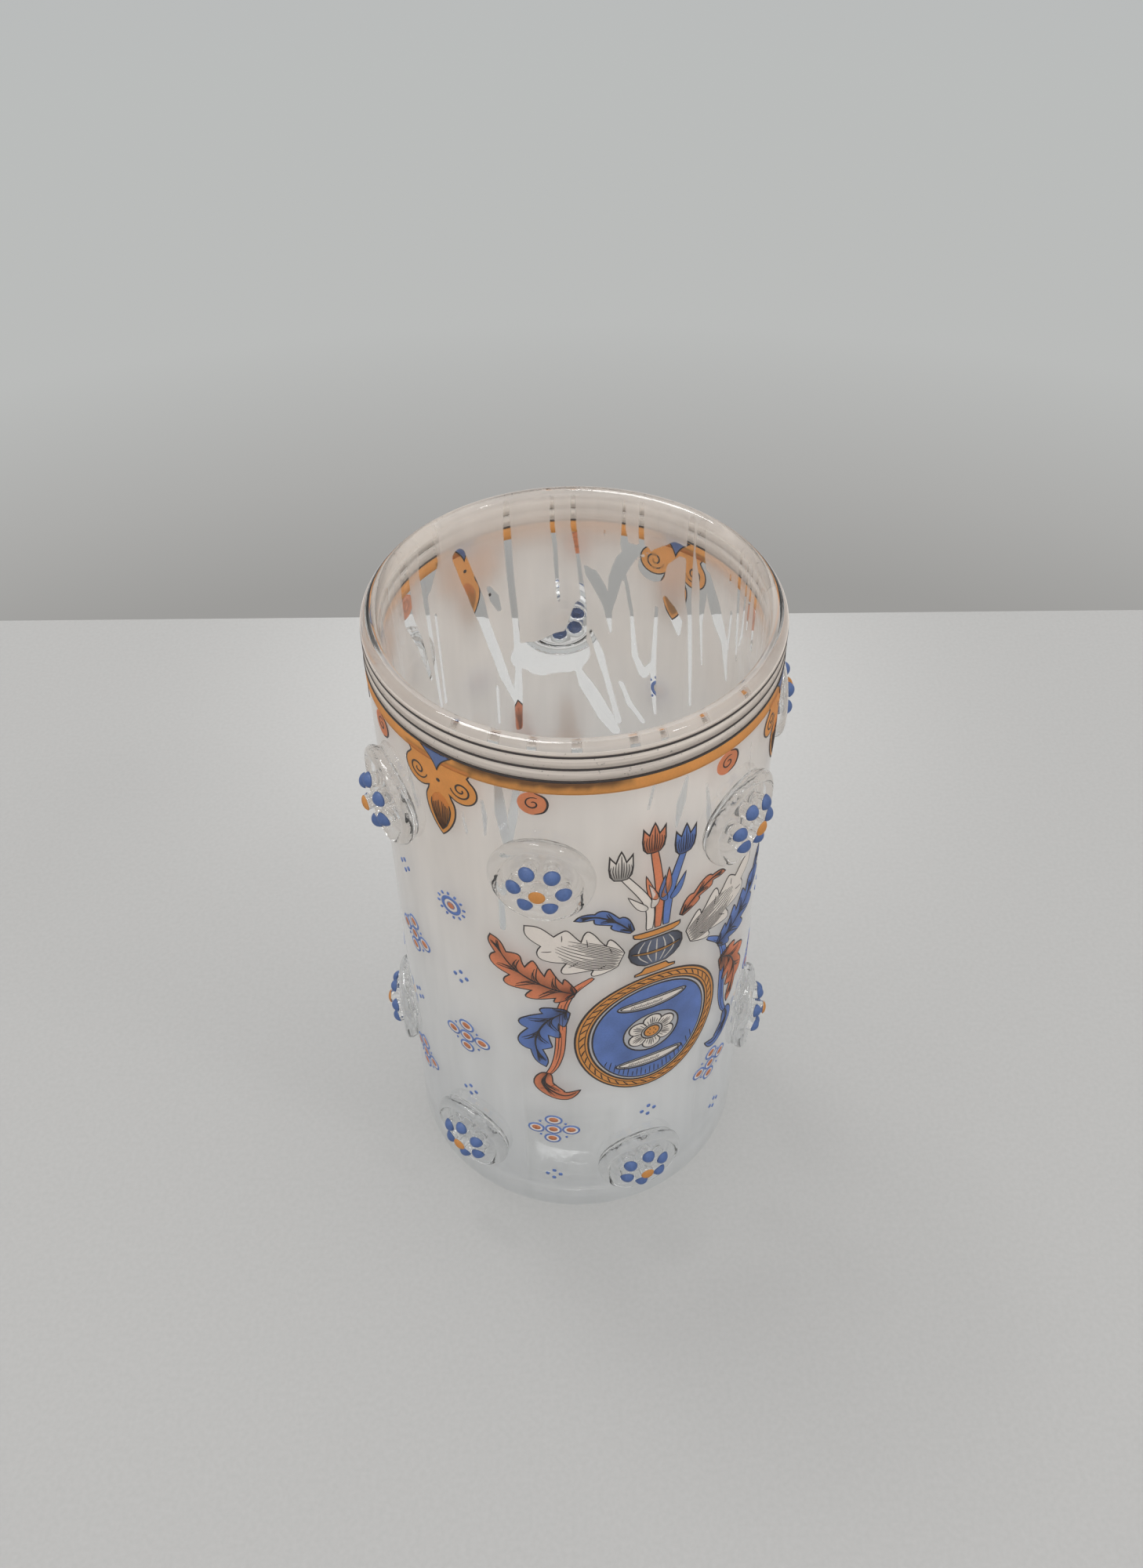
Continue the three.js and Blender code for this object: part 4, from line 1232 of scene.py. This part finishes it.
def place_bud(name, root, x, rise, paint):
    y = STEM_FOOT + rise
    spine = [(root, STEM_FOOT), (root * 1.3, STEM_FOOT + rise * 0.5), (x, y + 1.6)]
    motif = Motif(stroke(spine, 1.9, 18, 0.7), paint, line=0.2)
    motif.fill([(x + u, y + v) for u, v in symmetric(CUP)], paint, level=1, line=0.27,
               shade=lambda u, v: 0.75 * (1 - (v - y) / 5))
    for wing in (-1, 1):
        leaf = [beside(spine, at, off * wing) for at, off in ((0.4, 0.5), (0.52, 1.7), (0.7, 2.3))]
        motif.fill(acanthus(leaf, 0.75, 1, 0.2), paint, level=1, line=0.17)
        for k in range(1, 5):
            rib = [(0.36, 0.7), (0.5, 2.7), (0.46, 5.4 - 0.35 * k)]
            motif.ink([(x + wing * aside * k, y + up) for aside, up in rib], 0.15, 8, level=2)
    motif.ink([(x, y + 0.7), (x + 0.1, y + 3.4), (x, y + 6.8)], 0.22, 8, level=2)
    motif.place(name, paint)


place_bud("bud_white", -1.7, -7.6, 15.5, "white")
place_bud("bud_brick", 0.0, -1.6, 21.0, "brick")
place_bud("bud_blue", 1.7, 4.8, 18.0, "blue")
print("buds ready")

# %% [markdown]
# ## Small motifs
# Eyes, crosses of five ringed dots and diamonds of four dots fill the wall in columns: one column under each
# upper prunt and one under each pendant. The front ones are set where the photograph shows them. They are
# too thin for the solids, so they are painted here only.

# %% Small motifs
def cross_motif():
    motif = Motif()
    for x, y in ((0, 0), (0.1, 3.7), (-0.2, -3.6), (-3.8, -0.2), (3.9, 0.2)):
        half = 1.88 + 0.1 * (y > 0)
        motif.fill(ellipse(x, y, half, 1.72, 22), "white", line=0.45, line_paint="blue")
        motif.fill(ellipse(x, y + 0.1, half * 0.52, 1.72 * 0.48, 14), "salmon", level=1)
    for x, y in ((-2.9, 2.6), (2.7, 2.5), (-2.8, -2.6), (2.9, -2.7)):
        motif.fill(ellipse(x, y, 0.3, 0.34, 8), "blue")
    return motif


def diamond_motif():
    motif = Motif()
    for x, y in ((0.1, 1.5), (0, -1.5), (-1.45, 0), (1.5, 0.1)):
        motif.fill(ellipse(x, y, 0.48, 0.56, 12), "blue")
    return motif


def eye_motif():
    motif = Motif(ellipse(0, 0, 2.4, 2.4, 30), "blue", [ellipse(0, 0, 1.62, 1.62, 24)])
    motif.fill(ellipse(0, 0, 1.58, 1.58, 24), "white", [ellipse(0, 0, 1.0, 1.0, 18)])
    motif.fill(ellipse(0, 0, 0.97, 0.97, 18), "salmon", line=0.16, line_paint="blue")
    for k in range(12):
        dash = [from_centre(radius, radians(30 * k + 8)) for radius in (2.8, 3.15, 3.55)]
        motif.fill(stroke(dash, 0.6, 5, 0.6), "blue")
    return motif


# %% Places of the small motifs
FRONT_MOTIFS = [
    ("eye", -38.1, 101.6), ("diamond", -37.0, 80.4), ("cross", -36.9, 60.1), ("diamond", -37.6, 39.7),
    ("diamond", -59.8, 101.2), ("cross", -59.0, 80.7), ("diamond", -62, 58.5), ("cross", -63.1, 35.4),
    ("cross", -8.1, 35.4), ("diamond", -8.3, 16.5), ("diamond", 23.2, 38.6), ("cross", 49.5, 40.9),
    ("diamond", 55, 20.5), ("eye", -145, 106),
]
UNDER_PRUNTS = [("diamond", 101), ("cross", 81), ("diamond", 58.5), ("cross", 36), ("diamond", 16.8)]
UNDER_PENDANTS = [("eye", 101.5), ("diamond", 80.3), ("cross", 60), ("diamond", 39.5)]
PRUNT_COLUMNS = (103, 181, -115)
PENDANT_COLUMNS = (79, 149.5, -145.5, -90)
LEAF_SPAN, LEAF_LOW, LEAF_HIGH, PRUNT_SPAN = 29, 62, 104, 13.5


def room_for(turn, height):
    """False where the far-side leaves or a prunt lie."""
    def apart(other):
        return abs((turn - other + 180) % 360 - 180)

    if apart(FAR_SIDE[0]) < LEAF_SPAN and LEAF_LOW < height < LEAF_HIGH:
        return False
    return all(hypot(radians(apart(t)) * WALL, height - z) > PRUNT_SPAN for t, z, _ in LOWER_PRUNTS)


def place_small_motifs():
    motifs = {"diamond": diamond_motif(), "cross": cross_motif(), "eye": eye_motif()}
    places = list(FRONT_MOTIFS)
    for turns, rows in ((PRUNT_COLUMNS, UNDER_PRUNTS), (PENDANT_COLUMNS, UNDER_PENDANTS)):
        for turn in turns:
            for kind, height in rows:
                slip = 0.6 * sin(turn * 1.7 + height)
                if room_for(turn, height):
                    places.append((kind, turn + slip, height + slip))
    for number, (kind, turn, height) in enumerate(places, 1):
        motifs[kind].place(f"{kind}_{number}", "blue", (turn, height), stands_for=False)
    return len(places)


print("small motifs:", place_small_motifs())

# %% [markdown]
# A hand-blown wall also holds a seed, a tiny bubble caught in the hot glass. The bubble looks dark because of
# how it bends light, and that dark look is painted here as a small dark speck.

# %% Seed in the wall
def place_seed(turn, height, radius):
    bm = bmesh.new()
    bmesh.ops.create_icosphere(bm, subdivisions=2, radius=radius)
    bmesh.ops.scale(bm, vec=(1, 1.3, 0.6), verts=bm.verts)
    bend(bm, turn, height, -1.2)
    smooth_faces(bm)
    # The bubble's dark look is painted with the ink enamel.
    piece("seed", bm, [PAINTS["ink"]])


place_seed(-151.5, 127.4, 0.34)
